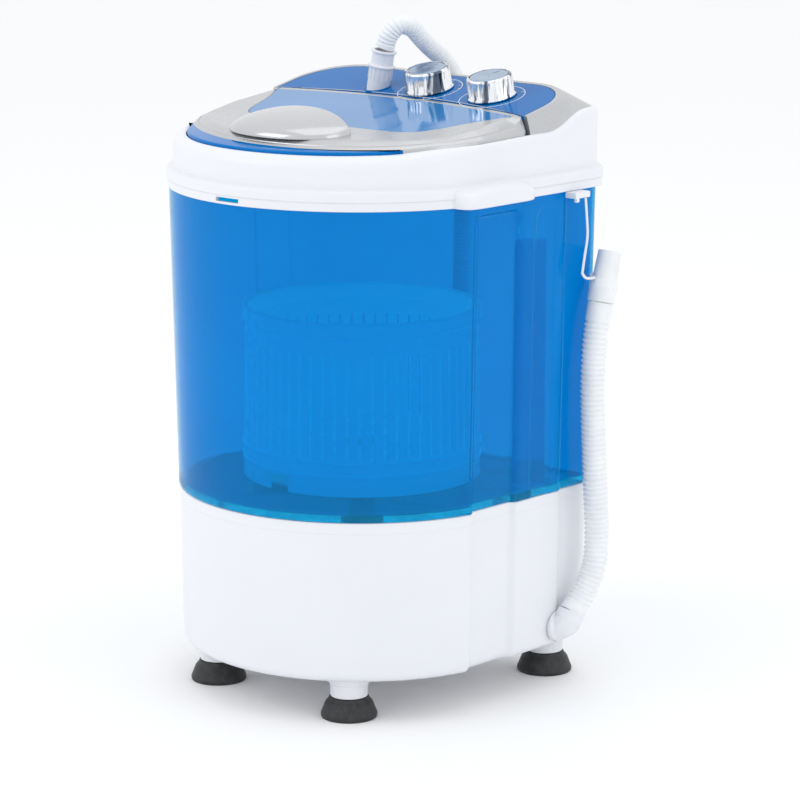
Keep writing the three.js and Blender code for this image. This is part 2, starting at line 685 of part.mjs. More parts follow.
function drainOutlet() {
  const [y, z] = OUTLET_AT;
  const spigot = barX(OUTLET_R, 146.5, ELBOW_X, y, z, 18);
  const flange = barX(OUTLET_R + 3, 161.9, 164.5, y, z, 18);
  const elbow = moved(toSolid(new THREE.SphereGeometry(OUTLET_R, 18, 10)), ELBOW_X, y, z);
  const socket = aimed(rod(OUTLET_R + 0.6, 7.5, 14.6, 18), [ELBOW_X, y, z], DRAIN_ROUTE[0]);
  return join(spigot, flange, elbow, socket);
}

const DRAIN_ROUTE = [[171.9, 96, 71], [176, 108, 88], [181, 116, 112], [182, 118.5, 140], [182, 117, 172],
  [182, 113, 226], [182, 110.5, 280], [182, 112.5, 318], [182, 116.5, 341], [182, 120, 356]];
const NOZZLE_FROM = [182, 120.1, 356.4];
const NOZZLE_TO = [182, 132, 401.5];

function drainNozzle() {
  const length = Math.hypot(...NOZZLE_TO.map((v, i) => v - NOZZLE_FROM[i]));
  const profile = [[0, 0], [12.2, 0], [12.4, 9], [13, 14], [12.4, 18], [11.4, 21], [10.3, length - 1],
      [9.9, length],
    [8.6, length], [8.8, 20], [0, 20]];
  return aimed(turned(profile, 20), NOZZLE_FROM, NOZZLE_TO);
}

const hookBracket = () => join(box(169.3, 182, 84, 104, 453.5, 459), box(178, 181.5, 86, 90, 450, 455));

function hoseHook() {
  const strap = shapeOf([[-1.1, -2], [1.1, -2], [1.1, 2], [-1.1, 2]]);
  const hang = swept(strap, [[180.4, 99, 453.2], [180.4, 101, 436], [180.4, 102.2, 419], [180.4, 98, 398],
    [180.4, 95.5, 385]], 14);
  const arc = [];
  const centre = [181.8, 126.4, 379.5];
  for (let i = 0; i <= 12; i++) {
    const t = THREE.MathUtils.degToRad(-95 - i * 14);
    arc.push([centre[0] + 13.6 * Math.cos(t), centre[1] + 13.6 * Math.sin(t), centre[2]]);
  }
  const ring = tubeAlong(1.3, [[180.4, 95.3, 386], [180.8, 99, 381.5], [181, 105, 379.8], ...arc], 26);
  return join(hang, ring);
}

const FITTING_FROM = [-49, 73, 529];
const FITTING_TO = [-41.8, 74.5, 569.5];

function inletFitting() {
  const length = Math.hypot(...FITTING_TO.map((v, i) => v - FITTING_FROM[i]));
  const ringAt = length - 15;
  const profile = [[8.2, 0], [10.7, 0], [10.7, ringAt - 1], [12.6, ringAt - 0.7], [12.6, ringAt + 1],
      [10.4, ringAt + 1.3],
    [10.2, length - 2.4], [12, length - 2], [12, length - 0.3], [10, length], [8.2, length]];
  return aimed(turned(profile, 20), FITTING_FROM, FITTING_TO);
}

const inletPort = () => onDeck(pipe(13.2, 12.6, -9, 0.5, 36), ...INLET_AT);

const BACK_DROP = 171; // how far behind the tub axis the inlet hose hangs
const COIL_AT = [-128, 268];
const COIL_R = 92;

function inletRoute() {
  const points = [[-41.3, 74.7, 571.6], [-37, 77, 584], [-31, 84, 592.5], [-27, 95, 590],
      [-26, 108, 579], [-26, 121, 569],
    [-26, 137, 558], [-27, 153, 543], [-28, 165, 518], [-29, BACK_DROP, 470], [-30, BACK_DROP, 400],
    [-31, BACK_DROP, 320], [-32, BACK_DROP, 240], [-33, BACK_DROP, 170], [-34, 173, 120], [-34, 184, 74],
    [-34, 204, 38], [-33, 228, 18], [-32.5, 250, 10.5]];
  const turns = 0.76;
  const steps = 26;
  for (let i = 1; i <= steps; i++) {
    const s = i / steps;
    const t = -0.14 + s * turns * 2 * Math.PI;
    const r = COIL_R + 3.5 - 8 * s;
    const z = INLET_R + 0.3 + 4.2 * Math.max(0, (s - 0.8) / 0.2);
    points.push([COIL_AT[0] + r * Math.cos(t), COIL_AT[1] + r * Math.sin(t), z]);
  }
  return points;
}

function tapConnector() {
  const route = inletRoute();
  const end = route.at(-1);
  const before = route.at(-2);
  const along = end.map((v, i) => v + (v - before[i]) * 0.02);
  const beyond = end.map((v, i) => v + (v - before[i]));
  return aimed(turned([[0, 0], [9.6, 0], [9.6, 12], [13, 12], [13, 28], [10.5, 28], [10.5, 18],
      [0, 18]], 24), along, beyond);
}

// ---- assembly -------------------------------------------------------------------------------------------
add("base_shell", baseShell(), WHITE);
add("bottom_cover", bottomCover(), WHITE);
for (const [place, at] of Object.entries(FEET)) {
  add(`foot_sleeve_${place}`, footSleeve(at), WHITE);
  add(`suction_foot_${place}`, suctionFoot(at), RUBBER);
}
add("tub", tubShell(), BLUE);
add("overflow_channel", overflowChannel(), BLUE);
add("collar", collar(), WHITE);
add("panel_surround", panelSurround(), SILVER);
add("control_panel", controlPanel(), BLUE);
add("wash_timer", timerBody(TIMER_AT, 38), DARK);
add("drain_selector", timerBody(SELECTOR_AT, 30), DARK);
for (const [name, at] of [["timer", TIMER_AT], ["selector", SELECTOR_AT]]) {
  add(`${name}_knob`, knobShell(at), CHROME);
  add(`${name}_knob_cap`, knobCap(at), SILVER);
  add(`${name}_shaft`, knobShaft(at), STEEL);
}
for (const [side, sign] of [["left", -1], ["right", 1]]) {
  add(`hinge_bracket_${side}`, hingeBracket(sign), WHITE);
  add(`hinge_pin_${side}`, hingePin(sign), STEEL);
}
add("lid_frame", lidFrame(), SILVER);
add("lid_pane", lidPane(), BLUE);
add("lid_grip", lidGrip(), SILVER);
add("lid_trim", lidTrim(), BLUE);
add("basket", basket(), BLUE);
add("pulsator", pulsator(), WHITE);
add("drive_shaft", driveShaft(), STEEL);
add("pulsator_screw", pulsatorScrew(), STEEL);
add("driven_pulley", drivenPulley(), DARK);
add("motor_pulley", motorPulley(), STEEL);
add("motor_rotor", motorRotor(), STEEL);
add("motor_housing", motorHousing(), COPPER);
add("motor_bracket", motorBracket(), STEEL);
add("drive_belt", driveBelt(), RUBBER);
add("bearing_housing", bearingHousing(), STEEL);
add("shaft_seal", shaftSeal(), RUBBER);
add("capacitor", capacitor(), DARK);
add("cord_gland", cordGland(), DARK);
add("drain_pipe", drainPipe(), HOSE);
add("drain_outlet", drainOutlet(), WHITE);
add("drain_hose", tubeAlong(DRAIN_R, DRAIN_ROUTE, 26), HOSE);
add("drain_nozzle", drainNozzle(), HOSE);
add("hook_bracket", hookBracket(), WHITE);
add("hose_hook", hoseHook(), WHITE);
add("inlet_port", inletPort(), WHITE);
add("inlet_fitting", inletFitting(), HOSE);
add("inlet_hose", tubeAlong(INLET_R, inletRoute(), 78), HOSE);
add("tap_connector", tapConnector(), BLUE);

export default nodes;
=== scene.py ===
"""Top load washing machine: the visual model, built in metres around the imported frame."""
import json
import math

import bmesh
import bpy
from mathutils import Matrix, Vector


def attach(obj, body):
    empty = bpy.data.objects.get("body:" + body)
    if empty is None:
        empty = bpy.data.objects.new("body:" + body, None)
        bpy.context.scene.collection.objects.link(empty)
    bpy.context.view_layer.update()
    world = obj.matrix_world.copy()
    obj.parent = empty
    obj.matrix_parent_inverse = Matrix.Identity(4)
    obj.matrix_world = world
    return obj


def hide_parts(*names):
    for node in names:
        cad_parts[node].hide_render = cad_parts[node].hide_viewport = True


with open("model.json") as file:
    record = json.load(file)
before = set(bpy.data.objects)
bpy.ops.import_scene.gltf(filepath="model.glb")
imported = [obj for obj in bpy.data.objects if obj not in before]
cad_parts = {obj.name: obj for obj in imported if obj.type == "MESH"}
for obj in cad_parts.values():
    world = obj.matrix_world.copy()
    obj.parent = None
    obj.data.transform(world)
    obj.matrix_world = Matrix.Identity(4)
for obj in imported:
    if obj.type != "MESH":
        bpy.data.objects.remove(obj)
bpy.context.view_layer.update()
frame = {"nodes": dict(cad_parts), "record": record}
scene = bpy.context.scene
scene.view_settings.view_transform = "Standard"

# ---- driving dimensions, in millimetres about the tub axis --------------------------------------
MM = 0.001
SHIFT_Y = 11.0  # the tub axis in the row frame
WALL = 3.0
BASE_BOTTOM = 38.6
BASE_TOP = 185.0
TUB_TOP = 459.4
TUB_FLOOR = 187.0
BEAD_LOW = 467.0
BEAD_HIGH = 477.0
SHELF_Z = 491.0
SHELF_THICK = 3.0
BASE_LOW_R = 164.6
BASE_HIGH_R = 166.9
TUB_LOW_R = 167.5
TUB_HIGH_R = 173.0
COLLAR_R = 169.0
COLLAR_SIDE = 167.0
BACK_BASE = 147.0
BACK_TUB = 148.5
BACK_COLLAR = 147.0
BEAD_OUT = 6.0
RIM_FRONT = 11.0  # radius of the top ring's upper outer edge, at the front
RIM_SIDE = 4.6
ARC_END = -32.0  # where the round front meets the flat side
SIDE_IN = 8.5  # side wall set in from the round front's radius
CORNER_R = 26.0
LID_FRONT_Z = 513.6
LID_FRONT_Y = -136.0
LID_FRONT_R = 194.0
LID_FRONT_SLOPE = 0.042
LID_CREASE_Y = -50.0
LID_REAR_SLOPE = 0.123
LID_SIDE = 161.0
HINGE_Y = 36.0
HINGE_Z = 521.0
GRIP_RIDGE_Y = -67.0
GRIP_WIDE = 64.0
GRIP_DEEP = 64.0
GRIP_BACK = 11.0
GRIP_HIGH = 17.5
DECK_Z = 532.0
DECK_Y = 62.0
DECK_ANGLE = math.radians(13.0)
DECK_SLOPE = math.tan(DECK_ANGLE)
PANEL_SIDE = 153.0
PANEL_BACK = 120.0
PANEL_BOW = 0.0007
KNOB_R = 20.8
KNOB_H = 20.5
TIMER_AT = (8.5, 82.0)
SELECTOR_AT = (85.0, 81.0)
INLET_AT = (-49.0, 73.0)
BASKET_R = 109.0
BASKET_LOW = 193.5
BASKET_HIGH = 350.0
FEET = {"front_left": (-83.5, -104.5), "front_right": (83.5, -104.5),
        "rear_left": (-117.0, 123.0), "rear_right": (117.0, 123.0)}
FOOT_R = 25.5
OUTLET_AT = (88.0, 58.0)
OUTLET_R = 12.0
DRAIN_R = 11.5
INLET_R = 9.0
DRAIN_ROUTE = [(171.9, 96, 71), (176, 108, 88), (181, 116, 112), (182, 118.5, 140), (182, 117, 172),
               (182, 113, 226), (182, 110.5, 280), (182, 112.5, 318), (182, 116.5, 341), (182, 120, 356)]
NOZZLE_FROM = (182.0, 120.1, 356.4)
NOZZLE_TO = (182.0, 132.0, 401.5)
FITTING_FROM = (-49.0, 73.0, 529.0)
FITTING_TO = (-41.8, 74.5, 569.5)
BACK_DROP = 171.0
COIL_AT = (-128.0, 268.0)
COIL_R = 92.0
INLET_DROP = [(-41.3, 74.7, 571.6), (-37, 77, 584), (-31, 84, 592.5), (-27, 95, 590), (-26, 108, 579),
              (-26, 121, 569), (-26, 137, 558), (-27, 153, 543), (-28, 165, 518), (-29, BACK_DROP, 470),
              (-30, BACK_DROP, 400), (-31, BACK_DROP, 320), (-32, BACK_DROP, 240), (-33, BACK_DROP, 170),
              (-34, 173, 120), (-34, 184, 74), (-34, 204, 38), (-33, 228, 18), (-32.5, 250, 10.5)]

CAMERA_AT = (2.0730, -2.1554, 0.9085)
CAMERA_LENS = 151.13
CAMERA_AZIMUTH = math.radians(43.07)
CAMERA_ELEVATION = math.radians(12.23)


# ---- small helpers ------------------------------------------------------------------------------
def placed(p):
    """A point of the tub-axis frame in the row frame, in metres."""
    return (p[0] * MM, (p[1] + SHIFT_Y) * MM, p[2] * MM)


def smoothstep(low, high, value):
    t = min(1.0, max(0.0, (value - low) / (high - low)))
    return t * t * (3.0 - 2.0 * t)


def blurred(table, at, width=9.0):
    """A piecewise linear table, rounded off at its corners."""
    total = 0.0
    for k in range(-3, 4):
        total += linear(table, at + k * width / 3.0)
    return total / 7.0


def linear(table, at):
    if at <= table[0][0]:
        return table[0][1]
    for (a, low), (b, high) in zip(table, table[1:]):
        if at <= b:
            return low + (high - low) * (at - a) / (b - a)
    return table[-1][1]


def smooth_min(a, b, radius):
    h = max(0.0, min(1.0, 0.5 + 0.5 * (b - a) / radius))
    return b + (a - b) * h - radius * h * (1.0 - h)


def smooth_max(a, b, radius):
    return -smooth_min(-a, -b, radius)


def spread(low, high, count):
    """Evenly spaced values from low to high, both included."""
    return [low + (high - low) * i / (count - 1) for i in range(count)]


def filleted(points, radius, steps=4, closed=True):
    """A flat outline with each corner rounded. radius is one number or one for each point."""
    radii = radius if hasattr(radius, "__len__") else [radius] * len(points)
    out = []
    count = len(points)
    for i, (point, r) in enumerate(zip(points, radii)):
        if r <= 0 or (not closed and i in (0, count - 1)):
            out.append(tuple(point))
            continue
        here = Vector(point)
        before = Vector(points[i - 1]) - here
        after = Vector(points[(i + 1) % count]) - here
        reach = min(r, before.length * 0.49, after.length * 0.49)
        start = here + before.normalized() * reach
        end = here + after.normalized() * reach
        for k in range(steps + 1):
            t = k / steps
            out.append(tuple(start * (1 - t) ** 2 + here * 2 * t * (1 - t) + end * t * t))
    return out


def both_sides(right):
    """Closes the right half of an outline with its mirror image."""
    return right + [(-x, y) for x, y in reversed(right[1:-1])]


def blended(first, second, share):
    """The outline at a share of the way from one to another of equal count."""
    return [(ax + (bx - ax) * share, ay + (by - ay) * share) for (ax, ay), (bx, by) in zip(first, second)]


def above(surface, rise):
    """The surface raised by a distance."""
    return lambda x, y: surface(x, y) + rise


def at_height(points, z):
    return [(x, y, z(x, y) if callable(z) else z) for x, y in points]


def loft(rings, looped=False):
    """Quads through rings of equal count, with a flat face at each end unless looped."""
    count = len(rings[0])
    verts = [p for ring in rings for p in ring]
    faces = []
    for r in range(len(rings) if looped else len(rings) - 1):
        a = r * count
        b = ((r + 1) % len(rings)) * count
        for i in range(count):
            j = (i + 1) % count
            faces.append((a + i, a + j, b + j, b + i))
    if not looped:
        last = (len(rings) - 1) * count
        faces.append(tuple(reversed(range(count))))
        faces.append(tuple(range(last, last + count)))
    return verts, faces


def turned(profile, sides=72):
    """A shape turned about Z. A profile that touches the axis at neither end is closed on itself."""
    verts, faces, rings = [], [], []
    for r, z in profile:
        start = len(verts)
        if r < 1e-6:
            verts.append((0.0, 0.0, z))
        else:
            for i in range(sides):
                t = 2 * math.pi * i / sides
                verts.append((r * math.cos(t), r * math.sin(t), z))
        rings.append(list(range(start, len(verts))))
    pairs = list(zip(rings, rings[1:]))
    if profile[0][0] >= 1e-6 and profile[-1][0] >= 1e-6:
        pairs.append((rings[-1], rings[0]))
    for a, b in pairs:
        for i in range(sides):
            j = (i + 1) % sides
            quad = [a[i % len(a)], a[j % len(a)], b[j % len(b)], b[i % len(b)]]
            faces.append(tuple(dict.fromkeys(quad)))
    return verts, faces


def join(*parts):
    verts, faces = [], []
    for part_verts, part_faces in parts:
        start = len(verts)
        verts.extend(part_verts)
        faces.extend(tuple(i + start for i in face) for face in part_faces)
    return verts, faces


def transformed(part, matrix):
    return [tuple(matrix @ Vector(v)) for v in part[0]], part[1]


def moved(part, x, y, z):
    return transformed(part, Matrix.Translation((x, y, z)))


def around(part, count):
    """Copies of a part, evenly spaced round Z."""
    return [transformed(part, Matrix.Rotation(2 * math.pi * i / count, 4, "Z")) for i in range(count)]


def aimed(part, start, end):
    """Turns a part made along Z so that it points from start to end."""
    turn = (Vector(end) - Vector(start)).to_track_quat("Z", "Y").to_matrix().to_4x4()
    return transformed(part, Matrix.Translation(start) @ turn)


def deck_top(x, y):
    return DECK_Z + DECK_SLOPE * (y - DECK_Y)


def on_deck(part, x, y):
    """Puts a part made about the local Z axis onto the sloping deck."""
    tilt = Matrix.Rotation(DECK_ANGLE, 4, "X")
    return transformed(part, Matrix.Translation((x, y, deck_top(x, y))) @ tilt)


def mirrored_part(part):
    return [(-x, y, z) for x, y, z in part[0]], [tuple(reversed(f)) for f in part[1]]


def box(x0, x1, y0, y1, z0, z1):
    ring = [(x0, y0), (x1, y0), (x1, y1), (x0, y1)]
    return loft([at_height(ring, z0), at_height(ring, z1)])


def curve_points(route, step):
    """Points about step apart on the centripetal Catmull-Rom curve through a route."""
    pts = [Vector(p) for p in route]
    pts = [2 * pts[0] - pts[1]] + pts + [2 * pts[-1] - pts[-2]]
    out = []
    for p0, p1, p2, p3 in zip(pts, pts[1:], pts[2:], pts[3:]):
        d0, d1, d2 = ((b - a).length ** 0.5 for a, b in ((p0, p1), (p1, p2), (p2, p3)))
        t1 = ((p1 - p0) / d0 - (p2 - p0) / (d0 + d1) + (p2 - p1) / d1) * d1
        t2 = ((p2 - p1) / d1 - (p3 - p1) / (d1 + d2) + (p3 - p2) / d2) * d1
        count = max(2, round((p2 - p1).length / step))
        for i in range(count):
            t = i / count
            c2 = -3 * p1 + 3 * p2 - 2 * t1 - t2
            c3 = 2 * p1 - 2 * p2 + t1 + t2
            out.append(p1 + t1 * t + c2 * t * t + c3 * t ** 3)
    out.append(pts[-2])
    return out


def resampled(points, step):
    """Points exactly evenly spaced along a polyline, and its length."""
    lengths = [0.0]
    for a, b in zip(points, points[1:]):
        lengths.append(lengths[-1] + (b - a).length)
    total = lengths[-1]
    count = max(2, round(total / step) + 1)
    out = []
    k = 0
    for i in range(count):
        want = total * i / (count - 1)
        while k < len(points) - 2 and lengths[k + 1] < want:
            k += 1
        span = max(1e-9, lengths[k + 1] - lengths[k])
        out.append(points[k].lerp(points[k + 1], (want - lengths[k]) / span))
    return out, total


def swept(points, section):
    """A section carried along points. section(i) gives the (across, up) points at station i."""
    tangents = []
    for i in range(len(points)):
        a = points[max(0, i - 1)]
        b = points[min(len(points) - 1, i + 1)]
        tangents.append((b - a).normalized())
    side = tangents[0].orthogonal().normalized()
    rings = []
    for i, (point, tangent) in enumerate(zip(points, tangents)):
        side = (side - tangent * side.dot(tangent)).normalized()
        up = tangent.cross(side)
        rings.append([tuple(point + side * a + up * b) for a, b in section(i)])
    return loft(rings)


def circle(radius, sides):
    return [(radius * math.cos(2 * math.pi * i / sides), radius * math.sin(2 * math.pi * i / sides))
            for i in range(sides)]


def made_object(name, part):
    mesh = bpy.data.meshes.new(name)
    mesh.from_pydata([placed(v) for v in part[0]], [], part[1])
    work = bmesh.new()
    work.from_mesh(mesh)
    bmesh.ops.remove_doubles(work, verts=work.verts, dist=1e-7)
    bmesh.ops.recalc_face_normals(work, faces=work.faces)
    work.to_mesh(mesh)
    work.free()
    obj = bpy.data.objects.new(name, mesh)
    scene.collection.objects.link(obj)
    return obj


def piece(name, part, material, body, stands_for=(), angle=32.0, bevel=0.0, carve=None):
    """Makes an object of a part, smooth except at edges over the angle, and puts it on its body."""
    obj = made_object(name, part)
    obj.data.materials.append(material)
    if carve:
        carved(obj, carve)
    obj.data.shade_smooth()
    obj.data.set_sharp_from_angle(angle=math.radians(angle))
    if bevel:
        soft = obj.modifiers.new("soft_edges", "BEVEL")
        soft.width = bevel * MM
        soft.segments = 3
        soft.limit_method = "ANGLE"
        soft.angle_limit = math.radians(angle)
        soft.harden_normals = True
    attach(obj, body)
    if stands_for:
        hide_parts(*stands_for)
    return obj


def carved(obj, part):
    """Cuts a part out of an object's mesh."""
    tool = made_object("carving_tool", part)
    cutter = obj.modifiers.new("cut", "BOOLEAN")
    cutter.operation = "DIFFERENCE"
    cutter.solver = "EXACT"
    cutter.object = tool
    bpy.context.view_layer.update()
    graph = bpy.context.evaluated_depsgraph_get()
    result = bpy.data.meshes.new_from_object(obj.evaluated_get(graph))
    obj.modifiers.clear()
    old = obj.data
    obj.data = result
    result.name = old.name
    bpy.data.meshes.remove(old)
    bpy.data.meshes.remove(tool.data)


# ---- materials ----------------------------------------------------------------------------------
class Shader:
    """A node material under construction."""

    def __init__(self, name, **fixed):
        self.material = bpy.data.materials.new(name)
        self.material.use_nodes = True
        self.tree = self.material.node_tree
        self.surface = self.tree.nodes["Principled BSDF"]
        self.surface.inputs["Roughness"].default_value = 0.4
        for key, value in fixed.items():
            self.surface.inputs[key.replace("_", " ")].default_value = value
        self.place = self.node("ShaderNodeTexCoord").outputs["Object"]

    def node(self, kind, **inputs):
        made = self.tree.nodes.new(kind)
        for key, value in inputs.items():
            self.feed(made.inputs[key.replace("_", " ")], value)
        return made

    def feed(self, socket, value):
        if isinstance(value, bpy.types.NodeSocket):
            self.tree.links.new(value, socket)
        else:
            socket.default_value = value

    def stretched(self, x, y, z):
        """Object coordinates scaled along each axis."""
        mapping = self.node("ShaderNodeMapping", Vector=self.place, Scale=(x, y, z))
        return mapping.outputs["Vector"]

    def noise(self, scale, detail=2.0, at=None, rough=0.5):
        made = self.node("ShaderNodeTexNoise", Vector=at or self.place, Scale=scale, Detail=detail,
                         Roughness=rough)
        return made.outputs["Fac"]

    def ranged(self, value, low, high, out_low, out_high):
        made = self.node("ShaderNodeMapRange", Value=value)
        for key, number in zip(("From Min", "From Max", "To Min", "To Max"), (low, high, out_low, out_high)):
            made.inputs[key].default_value = number
        return made.outputs["Result"]

    def math(self, operation, a, b=0.0):
        made = self.tree.nodes.new("ShaderNodeMath")
        made.operation = operation
        self.feed(made.inputs[0], a)
        self.feed(made.inputs[1], b)
        return made.outputs["Value"]

    def mixed(self, share, first, second):
        """A colour between two, by share."""
        made = self.tree.nodes.new("ShaderNodeMix")
        made.data_type = "RGBA"
        self.feed(made.inputs["Factor"], share)
        for socket, colour in ((made.inputs[6], first), (made.inputs[7], second)):
            self.feed(socket, colour if isinstance(colour, bpy.types.NodeSocket) else (*colour, 1.0))
        return made.outputs[2]

    def height(self):
        """Height above the floor, in millimetres."""
        split = self.node("ShaderNodeSeparateXYZ", Vector=self.place)
        return self.math("MULTIPLY", split.outputs["Z"], 1000.0)

    def colour(self, value):
        self.feed(self.surface.inputs["Base Color"],
                  value if isinstance(value, bpy.types.NodeSocket) else (*value, 1.0))

    def rough(self, value):
        self.feed(self.surface.inputs["Roughness"], value)

    def clouded(self, scale, detail, light, dark):
        """Two colours that drift into each other."""
        self.colour(self.mixed(self.ranged(self.noise(scale, detail), 0.35, 0.65, 0.0, 1.0), light, dark))

    def uneven_gloss(self, scale, detail, low, high):
        self.rough(self.ranged(self.noise(scale, detail), 0.3, 0.7, low, high))

    def grainy(self, *layers):
        """Surface relief from layers of (scale, detail, distance in metres, strength)."""
        self.bump(*[(self.noise(scale, detail), distance, strength)
                    for scale, detail, distance, strength in layers])

    def bump(self, *layers):
        """Surface relief from layers of (height, distance in metres, strength)."""
        normal = None
        for height, distance, strength in layers:
            made = self.node("ShaderNodeBump", Height=height, Distance=distance, Strength=strength)
            if normal is not None:
                self.feed(made.inputs["Normal"], normal)
            normal = made.outputs["Normal"]
        self.feed(self.surface.inputs["Normal"], normal)


def moulded(name, light, dark, rough_low, rough_high, relief=0.05):
    """Moulded plastic: a slight cloud in the colour, uneven gloss and a fine skin."""
    s = Shader(name)
    s.clouded(14.0, 3.0, light, dark)
    s.uneven_gloss(120.0, 3.0, rough_low, rough_high)
    s.grainy((900.0, 2.0, 0.0002, relief), (60.0, 1.0, 0.0004, relief))
    return s.material


def tub_plastic():
    """See-through blue with a faint painted glow: paler along the bottom edge, faint drawn marks up the
    wall.
    """
    # Emission Color: a faint painted blue glow in the tub wall
    s = Shader("tub_blue", IOR=1.12, Transmission_Weight=0.78, Specular_IOR_Level=0.5, Coat_Weight=0.12,
               Coat_Roughness=0.10, Emission_Strength=1.0, Emission_Color=(0.0, 0.004, 0.010, 1.0))
    cloud = s.ranged(s.noise(9.0, 2.0), 0.35, 0.65, 0.0, 1.0)
    base = s.mixed(cloud, (0.0, 0.44, 0.84), (0.0, 0.42, 0.82))
    edge = s.ranged(s.height(), 196.0, 190.0, 0.0, 1.0)
    s.colour(s.mixed(s.math("MULTIPLY", edge, 0.35), base, (0.02, 0.60, 0.96)))
    drawn = s.noise(30.0, 2.0, at=s.stretched(3.0, 3.0, 0.25))
    s.rough(s.ranged(drawn, 0.3, 0.7, 0.05, 0.10))
    s.bump((drawn, 0.0002, 0.05), (s.noise(700.0, 2.0), 0.0001, 0.02))
    return s.material


def clear_blue(name, light, dark, ior):
    """Glossy clear blue plastic over a tinted back."""
    s = Shader(name, IOR=ior)
    s.clouded(8.0, 2.0, light, dark)
    s.uneven_gloss(90.0, 3.0, 0.05, 0.11)
    s.grainy((25.0, 1.0, 0.0005, 0.03), (1100.0, 2.0, 0.00005, 0.03))
    return s.material


def silver_paint(name, light, dark, rough):
    """Silver-painted plastic with a fine flake."""
    s = Shader(name, Metallic=0.75)
    flake = s.noise(2600.0, 1.0)
    s.colour(s.mixed(s.ranged(flake, 0.35, 0.65, 0.0, 1.0), light, dark))
    s.uneven_gloss(150.0, 3.0, rough - 0.04, rough + 0.05)
    s.bump((flake, 0.00006, 0.10), (s.noise(45.0, 1.0), 0.0004, 0.03))
    return s.material


def plated(name, colour, rough):
    """Bright metal plating with a faint ripple and hairline smears."""
    s = Shader(name, Metallic=1.0)
    s.colour(s.mixed(s.noise(70.0, 3.0), colour, tuple(0.93 * c for c in colour)))
    s.uneven_gloss(240.0, 3.0, rough, rough + 0.06)
    s.grainy((160.0, 1.0, 0.0002, 0.04), (1500.0, 1.0, 0.00004, 0.03))
    return s.material


def painted_reflection_plating(name, bright, dark, rough):
    """Bright plating with light and dark bands painted into its colour up the upright facets: painted
    reflections.
    """
    s = Shader(name, Metallic=1.0)
    # painted reflections: dark bands mixed into the base colour in upright streaks
    painted_reflection_bands = s.noise(170.0, 2.0, at=s.stretched(1.0, 1.0, 0.04))
    s.colour(s.mixed(s.ranged(painted_reflection_bands, 0.50, 0.60, 0.0, 1.0), bright, dark))
    s.uneven_gloss(240.0, 3.0, rough, rough + 0.05)
    s.grainy((1500.0, 1.0, 0.00004, 0.03))
    return s.material


def brushed(name, colour, rough):
    """Metal brushed across its width."""
    s = Shader(name, Metallic=1.0)
    lines = s.noise(900.0, 3.0, at=s.stretched(0.06, 1.6, 1.6))
    s.colour(s.mixed(lines, colour, tuple(0.82 * c for c in colour)))
    s.rough(s.ranged(lines, 0.3, 0.7, rough, rough + 0.14))
    s.bump((lines, 0.00008, 0.25), (s.noise(40.0, 1.0), 0.0003, 0.03))
    return s.material


def rubber():
    """Black rubber with a little dust."""
    s = Shader("black_rubber")
    dust = s.noise(160.0, 4.0, rough=0.65)
    s.colour(s.mixed(s.ranged(dust, 0.45, 0.75, 0.0, 1.0), (0.016, 0.017, 0.018), (0.045, 0.046, 0.048)))
    s.rough(s.ranged(dust, 0.3, 0.7, 0.42, 0.66))
    s.grainy((1300.0, 3.0, 0.0002, 0.12), (90.0, 2.0, 0.0004, 0.08))
    return s.material


def hose_plastic():
    """Milky hose plastic that lets some light through."""
    s = Shader("hose_white", IOR=1.45, Subsurface_Weight=0.25, Subsurface_Radius=(0.006, 0.006, 0.007),
               Subsurface_Scale=1.0)
    s.clouded(40.0, 3.0, (0.86, 0.875, 0.89), (0.80, 0.82, 0.845))
    s.uneven_gloss(200.0, 2.0, 0.28, 0.42)
    s.grainy((800.0, 2.0, 0.0002, 0.06))
    return s.material


def basket_plastic():
    """Pale blue plastic that glows a little, as if lit through the tub."""
    s = Shader("basket_blue", IOR=1.45, Emission_Strength=1.0, Emission_Color=(0.0, 0.17, 0.21, 1.0))
    s.clouded(20.0, 2.0, (0.30, 0.80, 0.92), (0.27, 0.77, 0.90))
    s.uneven_gloss(120.0, 2.0, 0.22, 0.34)
    s.grainy((500.0, 2.0, 0.0001, 0.03))
    return s.material


def floor_paint():
    s = Shader("studio_floor", Roughness=0.8)
    s.colour(s.mixed(s.noise(1.2, 2.0), (0.975, 0.975, 0.975), (0.965, 0.965, 0.965)))
    s.grainy((60.0, 2.0, 0.0005, 0.03))
    return s.material


WHITE = moulded("white_plastic", (0.80, 0.81, 0.85), (0.79, 0.80, 0.84), 0.30, 0.34, relief=0.015)
WHITE_LINE = moulded("white_print", (0.86, 0.87, 0.89), (0.80, 0.82, 0.85), 0.40, 0.5)
TUB_BLUE = tub_plastic()
PANEL_BLUE = clear_blue("panel_blue", (0.001, 0.15, 0.46), (0.001, 0.13, 0.42), 1.16)
PANE_BLUE = clear_blue("pane_blue", (0.010, 0.20, 0.52), (0.008, 0.17, 0.47), 1.5)
TRIM_BLUE = clear_blue("trim_blue", (0.0, 0.18, 0.54), (0.0, 0.15, 0.49), 1.16)
SILVER = silver_paint("silver_paint", (0.60, 0.605, 0.615), (0.50, 0.505, 0.515), 0.30)
SILVER_DOME = silver_paint("silver_dome", (0.62, 0.62, 0.63), (0.55, 0.55, 0.56), 0.20)
CHROME = plated("chrome_plate", (0.82, 0.83, 0.85), 0.05)
KNOB_CHROME = painted_reflection_plating("knob_chrome", (0.90, 0.91, 0.94), (0.10, 0.13, 0.18), 0.04)
KNOB_TOP = brushed("knob_top", (0.42, 0.52, 0.66), 0.18)
STEEL = brushed("steel", (0.55, 0.56, 0.57), 0.28)
ALLOY = plated("cast_alloy", (0.50, 0.505, 0.51), 0.38)
RUBBER = rubber()
DARK = moulded("dark_plastic", (0.045, 0.047, 0.05), (0.03, 0.032, 0.035), 0.4, 0.55, relief=0.1)
HOSE = hose_plastic()
BASKET_BLUE = basket_plastic()

